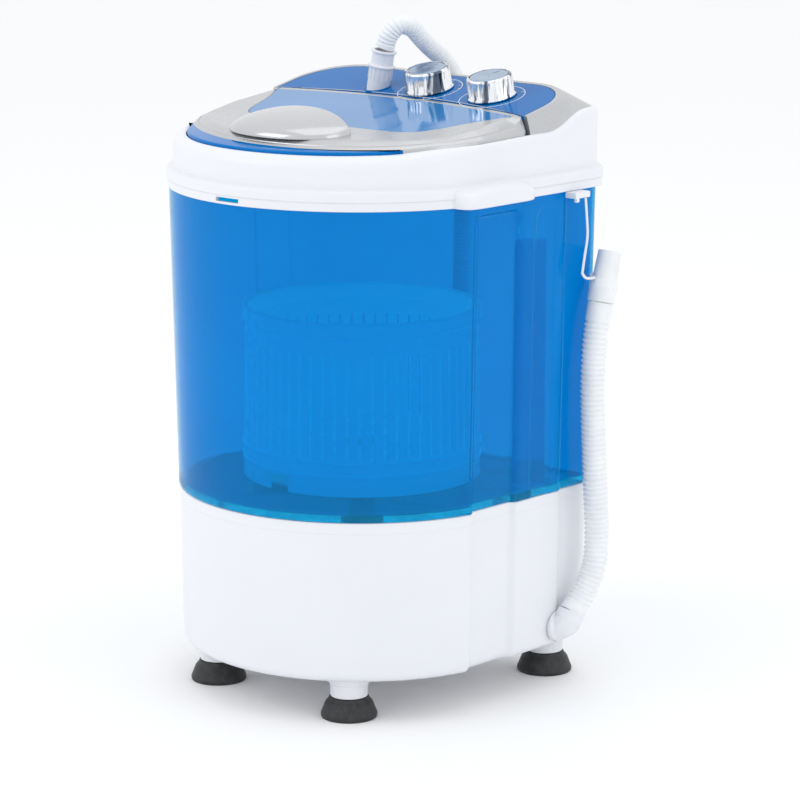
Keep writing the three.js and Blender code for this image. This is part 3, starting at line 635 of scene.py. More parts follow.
SLOT_MATERIALS = {"white_plastic": WHITE, "clear_blue_plastic": TUB_BLUE, "basket_plastic": BASKET_BLUE,
                  "silver_plastic": SILVER, "chrome_plate": CHROME, "steel": STEEL, "cast_alloy": ALLOY,
                  "black_rubber": RUBBER, "dark_plastic": DARK, "hose_plastic": HOSE}


# ---- camera, floor and light --------------------------------------------------------------------
def make_camera():
    data = bpy.data.cameras.new("camera")
    data.lens = CAMERA_LENS
    data.clip_end = 100.0
    camera = bpy.data.objects.new("camera", data)
    scene.collection.objects.link(camera)
    level = math.cos(CAMERA_ELEVATION)
    back = Vector((math.sin(CAMERA_AZIMUTH) * level, -math.cos(CAMERA_AZIMUTH) * level,
                   math.sin(CAMERA_ELEVATION)))
    camera.location = CAMERA_AT
    camera.rotation_euler = (-back).to_track_quat("-Z", "Y").to_euler()
    scene.camera = camera


def make_floor():
    mesh = bpy.data.meshes.new("studio_floor")
    size = 40.0
    mesh.from_pydata([(-size, -size, 0), (size, -size, 0), (size, size, 0), (-size, size, 0)], [],
                     [(0, 1, 2, 3)])
    mesh.materials.append(floor_paint())
    floor = bpy.data.objects.new("studio_floor", mesh)
    scene.collection.objects.link(floor)


def area_light(name, place, target, size, power):
    data = bpy.data.lights.new(name, "AREA")
    data.shape = "RECTANGLE"
    data.size, data.size_y = size
    data.energy = power
    light = bpy.data.objects.new(name, data)
    scene.collection.objects.link(light)
    light.location = place
    light.rotation_euler = (Vector(target) - Vector(place)).to_track_quat("-Z", "Y").to_euler()


def make_light():
    world = bpy.data.worlds.new("studio")
    world.use_nodes = True
    world.node_tree.nodes["Background"].inputs["Color"].default_value = (0.97, 0.985, 1.0, 1.0)
    world.node_tree.nodes["Background"].inputs["Strength"].default_value = 1.0
    scene.world = world
    area_light("key", (-1.2, -2.2, 1.9), (0, 0, 0.3), (1.6, 1.6), 11)
    area_light("side", (2.6, 0.2, 1.2), (0, 0, 0.3), (1.4, 1.8), 5)
    area_light("top", (0.2, 0.3, 2.6), (0, 0, 0.3), (2.2, 2.2), 7)


# ---- hoses --------------------------------------------------------------------------------------
def inlet_route():
    points = list(INLET_DROP)
    turns = 0.76
    steps = 26
    for i in range(1, steps + 1):
        s = i / steps
        t = -0.14 + s * turns * 2 * math.pi
        r = COIL_R + 3.5 - 8 * s
        z = INLET_R + 0.3 + 4.2 * max(0.0, (s - 0.8) / 0.2)
        points.append((COIL_AT[0] + r * math.cos(t), COIL_AT[1] + r * math.sin(t), z))
    return points


def hose(name, route, radius, pitch, depth, smooth_start, smooth_end, sides):
    """A corrugated hose: ridges pitch apart, with a plain cuff of the given length at each end."""
    per_ridge = 6
    points, length = resampled(curve_points(route, 1.0), pitch / per_ridge)

    def section(i):
        along = length * i / (len(points) - 1)
        fade = smoothstep(smooth_start, smooth_start + 4, along)
        fade *= 1.0 - smoothstep(length - smooth_end - 4, length - smooth_end, along)
        wave = 0.5 - 0.5 * math.cos(2 * math.pi * i / per_ridge)
        return circle(radius - depth * fade * wave ** 1.4, sides)

    obj = piece(name + "_tube", swept(points, section), HOSE, "housing", [name], angle=80)
    return obj, [placed(p) for p in points[::3] + [points[-1]]], length * MM


def drain_outlet():
    y, z = OUTLET_AT
    bend = curve_points([(150, y, z), (160, y, z), (166.5, y + 0.6, z + 0.6), (170.4, y + 3.6, z + 5.4),
                         (171.5, y + 6.2, z + 10.0), DRAIN_ROUTE[0]], 1.2)
    points, length = resampled(bend, 1.2)

    def section(i):
        along = length * i / (len(points) - 1)
        collar = smoothstep(length - 9, length - 7.5, along)
        flange = smoothstep(11.5, 12.2, along) - smoothstep(14.3, 15.0, along)
        return circle(OUTLET_R + 0.7 * collar + 2.6 * flange, 48)

    piece("drain_elbow", swept(points, section), WHITE, "housing", ["drain_outlet"])


def drain_nozzle():
    length = (Vector(NOZZLE_TO) - Vector(NOZZLE_FROM)).length
    profile = filleted([(0, 0), (12.2, 0), (12.4, 9), (13, 14), (12.4, 18), (11.4, 21), (10.3, length - 1),
                        (9.9, length), (8.6, length), (8.8, 20), (0, 20)], 0.8)
    return piece("drain_nozzle_end", aimed(turned(profile, 64), NOZZLE_FROM, NOZZLE_TO), HOSE, "housing",
                 ["drain_nozzle"])


def inlet_fitting():
    length = (Vector(FITTING_TO) - Vector(FITTING_FROM)).length
    ring = length - 15
    outline = [(8.2, 0), (10.7, 0), (10.7, ring - 1), (12.6, ring - 0.7), (12.6, ring + 1),
               (10.4, ring + 1.3), (10.2, length - 2.4), (12, length - 2), (12, length - 0.3), (10, length),
               (8.2, length)]
    body = turned(filleted(outline, 0.5), 64)
    ribs = around(box(10.2, 11.3, -0.5, 0.5, 14, ring - 1.2), 16)
    part = aimed(join(body, *ribs), FITTING_FROM, FITTING_TO)
    return piece("inlet_elbow_fitting", part, WHITE, "housing", ["inlet_fitting"])


def tap_connector(route):
    end, before = Vector(route[-1]), Vector(route[-2])
    step = end - before
    outline = [(0, 0), (9.6, 0), (9.6, 12), (13, 12), (13, 28), (10.5, 28), (10.5, 18), (0, 18)]
    body = turned(filleted(outline, 0.7), 64)
    ribs = around(box(12.4, 13.6, -0.7, 0.7, 13.4, 26.6), 18)
    part = aimed(join(body, *ribs), end + step * 0.02, end + step)
    return piece("tap_connector_nut", part, TRIM_BLUE, "housing", ["tap_connector"])


def hoses():
    drain, path, length = hose("drain_hose", DRAIN_ROUTE, DRAIN_R, 4.6, 1.5, 5, 14, 40)
    nozzle = drain_nozzle()
    route = inlet_route()
    inlet, path, length = hose("inlet_hose", route, INLET_R, 3.4, 0.8, 2, 6, 32)
    connector = tap_connector(route)
    fitting = inlet_fitting()
    drain_outlet()


make_camera()
make_floor()
make_light()
hoses()


# ---- base, feet and tub -------------------------------------------------------------------------
def side_steps(step):
    count = int((BACK_BASE - CORNER_R - ARC_END) / step) + 1
    return spread(ARC_END, BACK_BASE - CORNER_R, count)


def body_outline(r, back, z, out, inset=0.0, step=1.0):
    """A round front, side walls that stand out by out(y, z), and rounded rear corners."""
    right = []
    radius = r - inset
    end = math.acos(-ARC_END / r)
    arc = 64
    for i in range(arc):
        t = end * i / arc
        right.append((radius * math.sin(t), -radius * math.cos(t)))
    side = r - SIDE_IN - inset
    for y in side_steps(step):
        right.append((side + out(y, z), y))
    return both_sides(right + rear_edge(side, back - inset, CORNER_R - inset, 14, 8))


def rear_edge(side, back, radius, steps, along):
    """From the end of the right side round the rear corner to the middle of the back."""
    points = []
    for i in range(1, steps + 1):
        t = i / steps * math.pi / 2
        points.append((side - radius + radius * math.cos(t), back - radius + radius * math.sin(t)))
    return points + [((side - radius) * (1 - k / along), back) for k in range(1, along + 1)]


def base_side(y, z):
    """The base's side: a set-in panel, a ramp out to the rear panel, and the rear corner."""
    front = 5.4 * (1 - smoothstep(ARC_END, ARC_END + 5.5, y))
    panel = -1.0 * smoothstep(ARC_END, ARC_END + 5.5, y) * (1 - smoothstep(23.5, 31.5, y))
    rear = 4.0 * smoothstep(23.5, 31.5, y) * (1 - smoothstep(87.0, 92.5, y))
    return front + panel + rear


def tub_side(y, z):
    """The tub's side: as the base, with the panels ending in rounded corners under the top ring."""
    lift = base_side(y, z)
    corner = 9.0
    top = 449.0
    across = abs(y - (ARC_END + 30.0)) - (30.0 - corner)
    up = z - (top - corner)
    away = math.hypot(max(across, 0.0), max(up, 0.0)) - corner
    inside = 1.0 - smoothstep(-1.6, 1.6, away)
    if ARC_END < y < 29.0:
        lift = 4.0 + (lift - 4.0) * inside
    channel = math.hypot(max(abs(y - 61.0) - 3.0, 0.0), max(z - 438.0, 0.0)) - 10.0
    lift -= 1.2 * (1.0 - smoothstep(-1.2, 1.2, channel))
    if y > 87.0:
        lift += (4.0 - lift) * smoothstep(454.5, 457.0, z)
    return lift


def base_shell():
    low = BASE_BOTTOM
    rings = []
    for k in range(7):
        t = k / 6.0 * math.pi / 2
        inward = 8 * (1 - math.sin(t))
        rings.append((low + 9 * (1 - math.cos(t)), BASE_LOW_R - inward, BACK_BASE - 2 - inward))
    for z in (70, 100, 130, 160, 172.6, 173.2):
        share = (z - low) / (BASE_TOP - low)
        rings.append((z, BASE_LOW_R + (BASE_HIGH_R - BASE_LOW_R) * share, BACK_BASE - 2 + 2 * share))
    for z, dip in ((173.7, 0.35), (174.5, 0.35), (175.0, 0.0), (183.2, 0.0), (184.2, 0.25), (184.7, 0.9)):
        rings.append((z, BASE_HIGH_R - dip, BACK_BASE - dip))
    outer = [at_height(body_outline(r, back, z, base_side), z) for z, r, back in rings]
    inner = [at_height(body_outline(r, back, z, base_side, WALL), z)
             for z, r, back in ((184.7, BASE_HIGH_R, BACK_BASE), (low + 9, BASE_LOW_R, BACK_BASE - 2),
                                (low + 0.4, BASE_LOW_R - 6, BACK_BASE - 8))]
    piece("base_body", loft(outer + inner, looped=True), WHITE, "housing", ["base_shell"])


def tub():
    top = TUB_TOP - 0.3
    levels = [(BASE_TOP, -1.2), (BASE_TOP + 0.5, -0.3), (BASE_TOP + 1.5, 0.25), (BASE_TOP + 5.5, 0.25),
              (BASE_TOP + 6.6, 0.0)]
    levels += [(z, 0.0) for z in (200, 220, 260, 300, 340, 380, 410, 422)]
    levels += [(z, 0.0) for z in spread(424.0, top, 30)]
    outer = []
    for z, swell in levels:
        share = (z - BASE_TOP) / (top - BASE_TOP)
        r = TUB_LOW_R + (TUB_HIGH_R - TUB_LOW_R) * share + swell
        outer.append(at_height(body_outline(r, BACK_TUB - 1 + share + swell, z, tub_side), z))
    inner = []
    for z in (top, 450.0, 440.0, 420.0, TUB_FLOOR + 8, TUB_FLOOR + 4.5):
        share = (z - BASE_TOP) / (top - BASE_TOP)
        r = TUB_LOW_R + (TUB_HIGH_R - TUB_LOW_R) * share
        inner.append(at_height(body_outline(r, BACK_TUB - 1 + share, z, tub_side, WALL), z))
    floor_r = TUB_LOW_R - 3
    inner.append(at_height(body_outline(floor_r, BACK_TUB - 4, 190, tub_side, WALL), TUB_FLOOR + 3))
    piece("tub_wall", loft(outer + inner), TUB_BLUE, "housing", ["tub"])


def overflow_channel():
    right = [(152, 42)]
    for i in range(25):
        t = math.pi / 2 + i / 24 * math.pi
        right.append((150 + 16 * math.cos(t), 62 + 19 * math.sin(t)))
    rings = [at_height(right, z) for z in (TUB_FLOOR + 4, 412)]
    inner = [(x + 0.6, 62 + (y - 62) * 0.95) for x, y in right]
    rings.append(at_height(inner, 415))
    piece("overflow_duct", loft(rings), TUB_BLUE, "housing", ["overflow_channel"])


def feet():
    sleeve = filleted([(0, 17.5), (13.5, 17.5), (13.5, 19.5), (16.8, 19.5), (17.2, BASE_BOTTOM - 7.2),
                       (19.2, BASE_BOTTOM - 6.2), (19.6, BASE_BOTTOM), (9, BASE_BOTTOM),
                       (9, BASE_BOTTOM + 12), (0, BASE_BOTTOM + 12)], 0.8)
    cup = filleted([(0, 5), (8, 5), (17, 2), (20, 0), (FOOT_R - 0.7, 0), (FOOT_R, 3.2), (FOOT_R - 2.2, 8),
                    (21.5, 13.5), (18.2, 17), (17.6, 19), (14.2, 19), (13.8, 17.2), (0, 17.2)],
                   [0, 1, 2, 0.8, 0.4, 1.2, 4, 4, 1.5, 0.6, 0.6, 0.6, 0])
    for name, (x, y) in FEET.items():
        piece(f"sleeve_{name}", moved(turned(sleeve), x, y, 0), WHITE, "housing",
              [f"foot_sleeve_{name}"])
        piece(f"cup_{name}", moved(turned(cup), x, y, 0), RUBBER, "housing",
              [f"suction_foot_{name}"])


# ---- top ring -----------------------------------------------------------------------------------
COLLAR_EDGE = [(-150, 505), (-100, 506), (-60, 510), (0, 511.5), (45, 513), (77, 513), (93, 521),
               (111, 530)]


def collar_edge(x, y):
    return blurred(COLLAR_EDGE, y)


def ring_outline(out):
    """The top ring's plan: round front, straight sides, rounded rear corners."""
    r, side, back, corner = COLLAR_R + out, COLLAR_SIDE + out, BACK_COLLAR + out, CORNER_R + out
    right = []
    end = math.asin(min(1.0, side / r))
    arc = 72
    for i in range(arc):
        t = end * i / arc
        right.append((r * math.sin(t), -r * math.cos(t)))
    start = -r * math.cos(end)
    for y in spread(start, back - corner, 40):
        right.append((side, y))
    return both_sides(right + rear_edge(side, back, corner, 14, 6))


def mouth_outline(grow=0.0):
    right = []
    for i in range(41):
        t = math.radians(100) * i / 40
        right.append(((128 + grow) * math.sin(t), -8 - (118 + grow) * math.cos(t)))
    right += filleted([right.pop(), (112 + grow, 26), (96, 32 + grow), (0, 34 + grow)], 6, closed=False)
    return both_sides(right)


def polar(outline, centre, count=288):
    """The outline's points at equal angles about a centre."""
    out = []
    size = len(outline)
    for k in range(count):
        a = 2 * math.pi * k / count
        dx, dy = math.sin(a), -math.cos(a)
        best = 0.0
        for i in range(size):
            x0, y0 = outline[i][0] - centre[0], outline[i][1] - centre[1]
            x1, y1 = outline[(i + 1) % size][0] - centre[0], outline[(i + 1) % size][1] - centre[1]
            ex, ey = x1 - x0, y1 - y0
            det = dx * ey - dy * ex
            if abs(det) < 1e-12:
                continue
            reach = (x0 * ey - y0 * ex) / det
            share = (x0 * dy - y0 * dx) / det
            if reach > best and -1e-9 <= share <= 1 + 1e-9:
                best = reach
        out.append((centre[0] + dx * best, centre[1] + dy * best))
    return out


def grip_ledge():
    """The arched carrying grip on the right side of the top ring."""
    rings = []
    for y in spread(-57.0, 34.0, 49):
        u = abs((y + 11.5) / 45.5)
        reach = 160.0 + 24.0 * max(0.02, (1 - u ** 7)) ** (1 / 5.0)
        top = 470 + 5.5 * max(0.0, math.sin(math.pi * (y + 57.0) / 91.0)) ** 0.8
        outline = [(160.0, TUB_TOP), (reach - 1.0, TUB_TOP), (reach, TUB_TOP + 1.5), (reach, top - 4.0),
                   (reach - 3.0, top + 0.4), (160.0, top + 24 * 0.25)]
        rounded = filleted(outline, [0, 1, 1, 3, 3, 0], 4)
        rings.append([(x, y, z) for x, z in rounded])
    return loft(rings)


def rim_ring(turn, inward=0.0, sink=0.0):
    """One ring of the top ring's rounded edge, from upright (0) to flat (a quarter turn)."""
    reach = 20.0
    points = []
    for (ax, ay), (bx, by) in zip(ring_outline(0.0), ring_outline(-reach)):  # share differs by point
        radius = RIM_SIDE + (RIM_FRONT - RIM_SIDE) * (1 - smoothstep(-90.0, -14.0, ay))
        share = (radius * (1 - math.cos(turn)) + inward) / reach
        drop = radius * (1 - math.sin(turn)) + sink
        points.append((ax + (bx - ax) * share, ay + (by - ay) * share, collar_edge(ax, ay) - drop))
    return points


def collar():
    outer = [(4.5, TUB_TOP), (4.9, TUB_TOP + 0.6), (4.9, BEAD_LOW - 0.8), (5.4, BEAD_LOW - 0.1),
             (BEAD_OUT - 0.9, BEAD_LOW), (BEAD_OUT, BEAD_LOW + 0.9), (BEAD_OUT, BEAD_HIGH - 3.2),
             (BEAD_OUT - 0.7, BEAD_HIGH - 1.2), (BEAD_OUT - 2.4, BEAD_HIGH), (1.4, BEAD_HIGH + 0.5),
             (0.4, BEAD_HIGH + 1.2), (0.0, BEAD_HIGH + 2.6)]
    rings = [at_height(ring_outline(out), z) for out, z in outer]
    rings += [rim_ring(math.radians(turn)) for turn in spread(0.0, 90.0, 9)]
    rings += [rim_ring(math.pi / 2, 1.1, 0.4), rim_ring(math.pi / 2, 1.4, 3.0)]
    rings.append(at_height(ring_outline(-3.0), lambda x, y: collar_edge(x, y) - RIM_FRONT - 3.0))
    inner = ((-3.0, BEAD_HIGH), (1.0, BEAD_LOW), (1.0, TUB_TOP))
    rings += [at_height(ring_outline(out), z) for out, z in inner]
    wall = loft(rings, looped=True)
    centre = (0.0, -10.0)
    rim = polar(ring_outline(-2.7), centre)
    hole = polar(mouth_outline(), centre)
    lip = polar(mouth_outline(3.0), centre)
    rounded = polar(mouth_outline(0.8), centre)
    levels = ((rim, 0), (rim, SHELF_THICK), (lip, SHELF_THICK), (rounded, 2.2), (hole, 1.0), (hole, -12),
              (lip, -12), (lip, 0))
    shelf = loft([at_height(outline, SHELF_Z + rise) for outline, rise in levels], looped=True)
    grips = [grip_ledge(), mirrored_part(grip_ledge())]
    window = box(-8, 19, -190, -150, 461.5, 465.3)
    piece("top_ring", wall, WHITE, "housing", ["collar"], carve=window)
    piece("top_ring_shelf", shelf, WHITE, "housing", ["collar"])
    for side, part in zip(("right", "left"), grips):
        piece(f"side_grip_{side}", part, WHITE, "housing", ["collar"])


# ---- control deck -------------------------------------------------------------------------------
def panel_front(x):
    return DECK_Y - PANEL_BOW * x * x


def deck_outline(side, back, corner, lift=0.0):
    right = []
    for x in spread(0.0, side, 40):
        right.append((x, panel_front(x) + lift))
    for y in spread(panel_front(side) + lift, back - corner, 10)[1:]:
        right.append((side, y))
    return both_sides(right + rear_edge(side, back, corner, 24, 6))


def panel_surround():
    """The silver frame that falls from the panel to the top ring's edge."""
    centre = (0.0, 88.0)
    foot = polar(deck_outline(COLLAR_SIDE - WALL - 0.6, 143.4, 24, 0.5), centre)
    shoulder = polar(deck_outline(COLLAR_SIDE - WALL - 1.6, 142, 26, 0.5), centre)
    crest = polar(deck_outline(PANEL_SIDE + 3.5, PANEL_BACK + 4, 52, 0.5), centre)
    inner = polar(deck_outline(PANEL_SIDE + 0.4, PANEL_BACK + 0.4, 50.4, 0.3), centre)

    low = above(collar_edge, -1)

    def between(share, rise):
        points = []
        for (ax, ay), (bx, by) in zip(shoulder, crest):
            x, y = ax + (bx - ax) * share, ay + (by - ay) * share
            z0, z1 = low(ax, ay) + 1.5, deck_top(bx, by) + 0.4
            points.append((x, y, z0 + (z1 - z0) * rise))
        return points

    rings = [at_height(foot, above(low, -3)), at_height(foot, low)]
    for share, rise in ((0.0, 0.0), (0.25, 0.28), (0.5, 0.55), (0.75, 0.8), (0.93, 0.96)):
        rings.append(between(share, rise))
    rings += [between(1.0, 1.0), at_height(inner, above(deck_top, 0.2)),
              at_height(inner, above(deck_top, -6)),
              at_height(crest, above(deck_top, -6))]
    piece("panel_frame", loft(rings, looped=True), SILVER, "housing", ["panel_surround"])


def control_panel():
    outline = deck_outline(PANEL_SIDE, PANEL_BACK, 50)
    plate = loft([at_height(outline, above(deck_top, -4.2)), at_height(outline, deck_top)])
    piece("control_plate", plate, PANEL_BLUE, "housing", ["control_panel"], bevel=0.7)


def annulus(outer, inner, thick, sides=128):
    return turned([(inner, 0.0), (outer, 0.0), (outer, thick), (inner, thick)], sides)


def dial_print():
    """White printed rings and tick marks round the knobs."""
    parts = []
    for at, ticks, span in ((TIMER_AT, 16, 300), (SELECTOR_AT, 3, 90)):
        marks = [annulus(30.4, 29.7, 0.12)]
        for i in range(ticks):
            angle = math.radians(90 + span / 2 - span * i / (ticks - 1))
            long = i % 5 == 0 or ticks < 5
            tick = box(26.2 if long else 27.6, 29.9, -0.35, 0.35, 0.0, 0.12)
            marks.append(transformed(tick, Matrix.Rotation(angle, 4, "Z")))
        parts.append(on_deck(moved(join(*marks), 0, 0, 0.03), *at))
    piece("dial_print", join(*parts), WHITE_LINE, "housing", ["control_panel"])


def knob(name, at):
    """A plated knob with flat flutes round its side, and a brushed top with a pointer."""
    flutes = 14
    per = 8

    def outline(scale):
        points = []
        for i in range(flutes * per):
            t = 2 * math.pi * i / (flutes * per)
            phase = (i % per) / per
            groove = 0.85 * math.exp(-((min(phase, 1 - phase)) / 0.09) ** 2)
            flat = 0.35 * (math.cos(2 * math.pi * phase) * 0.5 + 0.5)
            r = (KNOB_R - groove - 0.35 + flat) * scale
            points.append((r * math.cos(t), r * math.sin(t)))
        return points

    levels = [(1.0, 0.8), (1.09, 0.8), (1.10, 1.4), (1.09, 2.4), (1.03, 4.2), (1.0, KNOB_H - 2.4),
              (0.995, KNOB_H - 1.2), (0.975, KNOB_H - 0.5), (0.945, KNOB_H - 0.1), (0.915, KNOB_H),
              (0.89, KNOB_H - 0.1), (0.885, KNOB_H - 0.9)]
    shell = loft([at_height(outline(s), z) for s, z in levels])
    piece(f"{name}_grip", on_deck(shell, *at), KNOB_CHROME, f"{name}_dial", [f"{name}_knob"],
          angle=50)
    disc = filleted([(0, KNOB_H - 0.9), (17.2, KNOB_H - 0.9), (17.2, KNOB_H - 0.2), (16.4, KNOB_H + 0.1),
                     (15.6, KNOB_H - 0.15), (15.0, KNOB_H - 0.15), (14.4, KNOB_H), (0, KNOB_H)], 0.15, 2)
    wedge = loft([[(-0.5, 6.5, KNOB_H - 0.2), (0.5, 6.5, KNOB_H - 0.2), (1.5, 14.0, KNOB_H - 0.2),
                   (-1.5, 14.0, KNOB_H - 0.2)],
                  [(-0.4, 6.6, KNOB_H + 0.5), (0.4, 6.6, KNOB_H + 0.5), (1.3, 13.9, KNOB_H + 0.5),
                   (-1.3, 13.9, KNOB_H + 0.5)]])
    piece(f"{name}_top", on_deck(join(turned(disc, 96), wedge), *at), KNOB_TOP, f"{name}_dial",
          [f"{name}_knob_cap"])


def inlet_port():
    outline = [(10.9, -6), (13.2, -6), (13.2, 0.5), (12.6, 0.9), (11.4, 0.9), (10.9, 0.4)]
    ring = turned(filleted(outline, 0.3))
    piece("inlet_collar", on_deck(ring, *INLET_AT), PANEL_BLUE, "housing", ["inlet_port"])


# ---- lid ----------------------------------------------------------------------------------------
def lid_front(x, y):
    return LID_FRONT_Z + LID_FRONT_SLOPE * (y - LID_FRONT_Y)


def lid_rear(x, y):
    return lid_front(0, LID_CREASE_Y) + LID_REAR_SLOPE * (y - LID_CREASE_Y)


def lid_top(x, y):
    return smooth_max(lid_front(x, y), lid_rear(x, y), 1.2)


def lid_outline(inset, rear_in=0.0):
    right = []
    r = LID_FRONT_R - inset
    centre_y = LID_FRONT_Y + LID_FRONT_R
    end = math.asin(126 / LID_FRONT_R)
    for i in range(31):
        t = end * i / 30
        right.append((r * math.sin(t), centre_y - r * math.cos(t)))
    side = LID_SIDE - inset
    corner = [right.pop(), (145 - inset * 0.8, LID_FRONT_Y + 73), (155 - inset * 0.95, LID_FRONT_Y + 95),
              (side, LID_FRONT_Y + 122), (side, -8), (side, panel_front(side) - 2.8 - rear_in)]
    right += filleted(corner, 12, 6, closed=False)
    for x in spread(side - 0.5, 0.0, 30):
        right.append((x, panel_front(x) - 2.4 - rear_in))
    return both_sides(right)


def pane_outline(grow):
    corner = [(0, -50 - grow), (32, -50 - grow), (64, -49.5 - grow), (90, -47 - grow),
              (104 + grow, -40 - grow), (114 + grow, -25 - grow), (124 + grow, 0), (135 + grow, 22),
              (148 + grow, 41 + grow)]
    right = filleted(corner, 9, 6, closed=False)[:-1]
    for x in spread(147.5 + grow, 0.0, 30):
        right.append((x, panel_front(x) - 7 + grow))
    return both_sides(right)


def lid_frame():
    centre = (0.0, -12.0)
    skirt = SHELF_Z + SHELF_THICK + 0.6

    def inner(x):
        """One between the hinge brackets, nothing at the lid's side walls."""
        return 1 - smoothstep(149, 157, abs(x))

    def edge(x, y):
        """The frame's outer edge, which rises to the lid's top along the rear."""
        upright = 30 * inner(x) * smoothstep(panel_front(x) - 14, panel_front(x) - 6, y)
        return min(lid_top(x, y) - 1.5, collar_edge(x, y) + 2.2 + upright)

    def hem(x, y):
        """The skirt's lower edge, raised at the rear to clear the hinge brackets."""
        return skirt + (HINGE_Z - 1 - skirt) * inner(x) * smoothstep(HINGE_Y - 9, HINGE_Y - 6, y)

    def skirt_top(drop):
        return lambda x, y: max(hem(x, y) + 0.3, edge(x, y) - drop)

    def shoulder(inset, share, dip=0.0):
        points = polar(lid_outline(inset), centre)
        return [(x, y, edge(x, y) * (1 - share) + lid_top(x, y) * share - dip) for x, y in points]

    outer = polar(lid_outline(0), centre)
    rings = [at_height(outer, hem), at_height(outer, skirt_top(1.2))]
    rings += [shoulder(0.5, 0.0, 0.3), shoulder(1.4, 0.08), shoulder(5.0, 0.35), shoulder(5.4, 0.37, 0.55),
              shoulder(6.4, 0.42, 0.55), shoulder(6.8, 0.46), shoulder(12.0, 0.86), shoulder(14.0, 1.0, 0.1),
              shoulder(16.0, 1.0)]
    far = polar(lid_outline(16.0), centre)
    near = polar(pane_outline(0.9), centre)
    rings += [at_height(blended(far, near, share), lid_top) for share in spread(0.08, 1.0, 14)]
    hole = polar(pane_outline(0.4), centre)
    under = blended(far, near, 0.5)
    rings += [at_height(outline, above(lid_top, -drop))
              for outline, drop in ((hole, 0.5), (hole, 3.2), (under, 3.2), (far, 3.4))]
    rings.append(at_height(polar(lid_outline(3.0, 2.4), centre), skirt_top(3.4)))
    rings.append(at_height(polar(lid_outline(2.6, 2.4), centre), hem))
    piece("lid_shell", loft(rings, looped=True), SILVER, "lid", ["lid_frame"], angle=28)


def lid_pane():
    outline = pane_outline(0)
    part = loft([at_height(outline, above(lid_rear, -3)),
                 at_height(outline, above(lid_rear, -0.2))])
    piece("lid_window", part, PANE_BLUE, "lid", ["lid_pane"], bevel=0.6)


def grip_ridge(x):
    return GRIP_RIDGE_Y - 0.0035 * x * x


def lid_grip():
    """The domed grip: smooth in front, cut away behind its ridge to let the fingers under."""
    def height(x, y):
        across = math.sqrt(max(0.0, 1 - (x / GRIP_WIDE) ** 2))
        if y <= grip_ridge(x):
            back = (y - grip_ridge(x)) / GRIP_DEEP
            rise = math.sqrt(max(0.0, across * across - back * back))
        else:
            fall = smoothstep(grip_ridge(x), grip_ridge(x) + GRIP_BACK * 0.8, y)
            rise = across * (1 - fall)
        return lid_top(x, y) + 0.3 + GRIP_HIGH * rise

    outline = []
    for i in range(240):
        turn = 2 * math.pi * i / 240
        x = GRIP_WIDE * math.cos(turn)
        reach = GRIP_DEEP if math.sin(turn) < 0 else GRIP_BACK
        outline.append((x, grip_ridge(x) + reach * math.sin(turn)))
    middle = GRIP_RIDGE_Y - 4.0
    rings = []
    for k in range(1, 91):
        rho = (k / 90) ** 0.9
        rings.append(at_height([(x * rho, middle + (y - middle) * rho) for x, y in outline], height))
    last = [(x, y, lid_top(x, y) - 0.2) for x, y, _ in rings[-1]]
    piece("lid_dome", loft(rings + [last]), SILVER_DOME, "lid", ["lid_grip"], angle=60)


def lid_trim():
    """The blue crescent in front of the lid."""
    half = math.radians(56)
    end = math.asin(131 / LID_FRONT_R)

    def outline(inset):
        outer = []
        for t in spread(-half, half, 81):
            r = COLLAR_R - RIM_FRONT - 2.2 - inset
            outer.append((r * math.sin(t), -r * math.cos(t)))
        inner = []
        for t in spread(end, -end, 81):
            r = LID_FRONT_R + 0.8 + inset
            inner.append((r * math.sin(t), LID_FRONT_Y + LID_FRONT_R - r * math.cos(t)))
        return outer + inner

    proud = 2.4
    rings = [at_height(outline(0), above(collar_edge, -proud))]
    for inset, drop in ((0.0, 1.8), (0.25, 0.8), (0.9, 0.2), (1.8, 0.0)):
        rings.append(at_height(outline(inset), above(collar_edge, proud - drop)))
    piece("lid_crescent", loft(rings), TRIM_BLUE, "lid", ["lid_trim"], angle=40)


# ---- hose hook ----------------------------------------------------------------------------------
def hose_hook():
    block = join(box(169.3, 182, 84, 104, 453.5, 459), box(178, 181.5, 86, 90, 450, 455))
    piece("hook_block", block, WHITE, "housing", ["hook_bracket"], bevel=0.8)
    strap, _ = resampled(curve_points([(180.4, 99, 453.2), (180.4, 101, 436), (180.4, 102.2, 419),
                                       (180.4, 98, 398), (180.4, 95.5, 385)], 2.0), 2.0)
    strip = swept(strap, lambda i: filleted([(-1.1, -2), (1.1, -2), (1.1, 2), (-1.1, 2)], 0.4, 3))
    arc = []
    for i in range(13):
        t = math.radians(-95 - i * 14)
        arc.append((181.8 + 13.6 * math.cos(t), 126.4 + 13.6 * math.sin(t), 379.5))
    route = [(180.4, 95.3, 386), (180.8, 99, 381.5), (181, 105, 379.8)] + arc
    ring, _ = resampled(curve_points(route, 1.5), 1.5)
    piece("hose_hanger", join(strip, swept(ring, lambda i: circle(1.3, 16))), WHITE, "housing",
          ["hose_hook"])


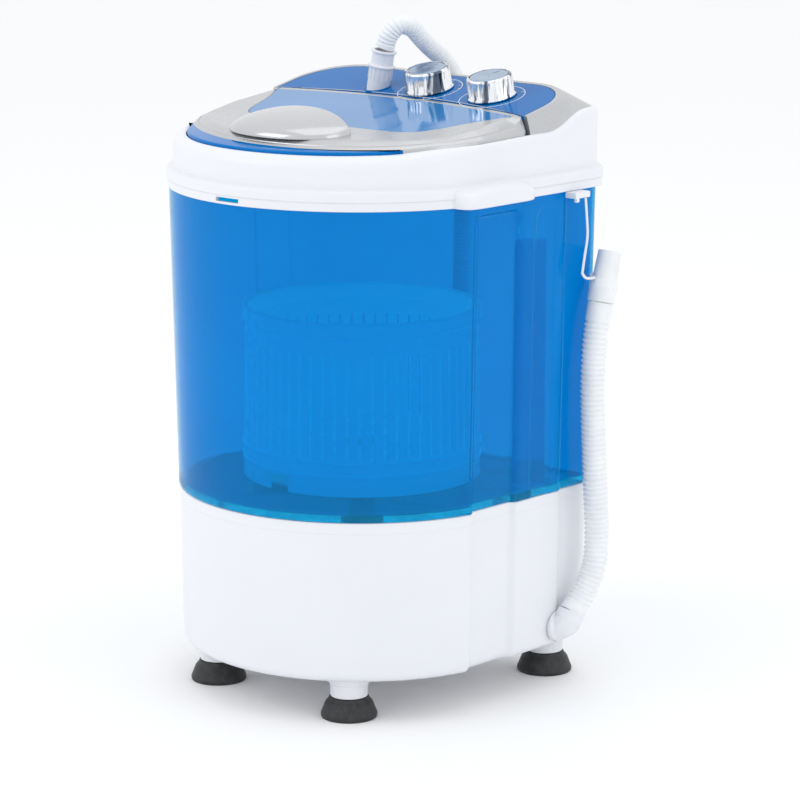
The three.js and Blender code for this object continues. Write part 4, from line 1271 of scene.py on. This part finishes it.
# ---- spin basket --------------------------------------------------------------------------------
def basket():
    """A slotted wall between a rolled rim and a solid foot."""
    slots = 60
    low, high = 226.0, 320.0
    cells = slots * 4
    rows = [BASKET_LOW, 200.0, 208.0, low, 258.0, 290.0, high, BASKET_HIGH - 14]
    verts, faces = [], []
    for thick in (0.0, 2.4):
        for z in rows:
            r = BASKET_R - 1 - 2 * (z - BASKET_LOW) / (BASKET_HIGH - BASKET_LOW) - thick
            for i in range(cells):
                t = 2 * math.pi * i / cells
                verts.append((r * math.cos(t), r * math.sin(t), z))
    count = len(rows) * cells

    def solid(row, i):
        if row in (3, 4, 5):
            return i % 4 != 0
        notch = cells * 3 // 4
        return not (row in (0, 1) and min((i - notch) % cells, (notch - i - 1) % cells) < 4)

    for row in range(len(rows) - 1):
        for i in range(cells):
            if not solid(row, i):
                continue
            j = (i + 1) % cells
            a, b = row * cells, (row + 1) * cells
            faces.append((a + i, a + j, b + j, b + i))
            faces.append((count + a + i, count + b + i, count + b + j, count + a + j))
            for here, there, side in ((a + i, b + i, solid(row, (i - 1) % cells)),
                                      (b + j, a + j, solid(row, j))):
                if not side:
                    faces.append((here, there, count + there, count + here))
            below = row > 0 and solid(row - 1, i)
            above = row < len(rows) - 2 and solid(row + 1, i)
            if not below:
                faces.append((a + i, count + a + i, count + a + j, a + j))
            if not above:
                faces.append((b + j, count + b + j, count + b + i, b + i))
    wall = (verts, faces)
    top = BASKET_HIGH
    r = BASKET_R
    sides = 120
    rim = turned(filleted([(r - 5.6, top - 15), (r - 2.6, top - 15), (r - 0.5, top - 13), (r, top - 2),
                           (r - 2, top), (r - 7, top - 1)], 1.0), sides)
    floor = turned(filleted([(21, 219), (r - 4.5, 219), (r - 4.5, 222), (21, 222)], 0.5), sides)
    hoops = [turned([(r - 0.8, z), (r + 0.2, z + 1), (r + 0.2, z + 3), (r - 0.8, z + 4)], sides)
             for z in (209.0, 221.0)]
    piece("basket_wall", wall, BASKET_BLUE, "spin_basket", ["basket"], angle=40)
    piece("basket_rim", join(rim, floor, *hoops), BASKET_BLUE, "spin_basket", ["basket"])


base_shell()
tub()
overflow_channel()
feet()
collar()
panel_surround()
control_panel()
dial_print()
knob("timer", TIMER_AT)
knob("selector", SELECTOR_AT)
inlet_port()
lid_frame()
lid_pane()
lid_grip()
lid_trim()
hose_hook()
basket()


def finish_cad_nodes():
    """Gives each CAD node that stays its slot's material."""
    slot_of = {entry["node"]: entry["material_slot"] for entry in frame["record"]["subparts"]}
    for name, obj in frame["nodes"].items():
        material = SLOT_MATERIALS.get(slot_of.get(name), WHITE)
        if not obj.material_slots:
            obj.data.materials.append(material)
        for holder in obj.material_slots:
            holder.material = material


finish_cad_nodes()
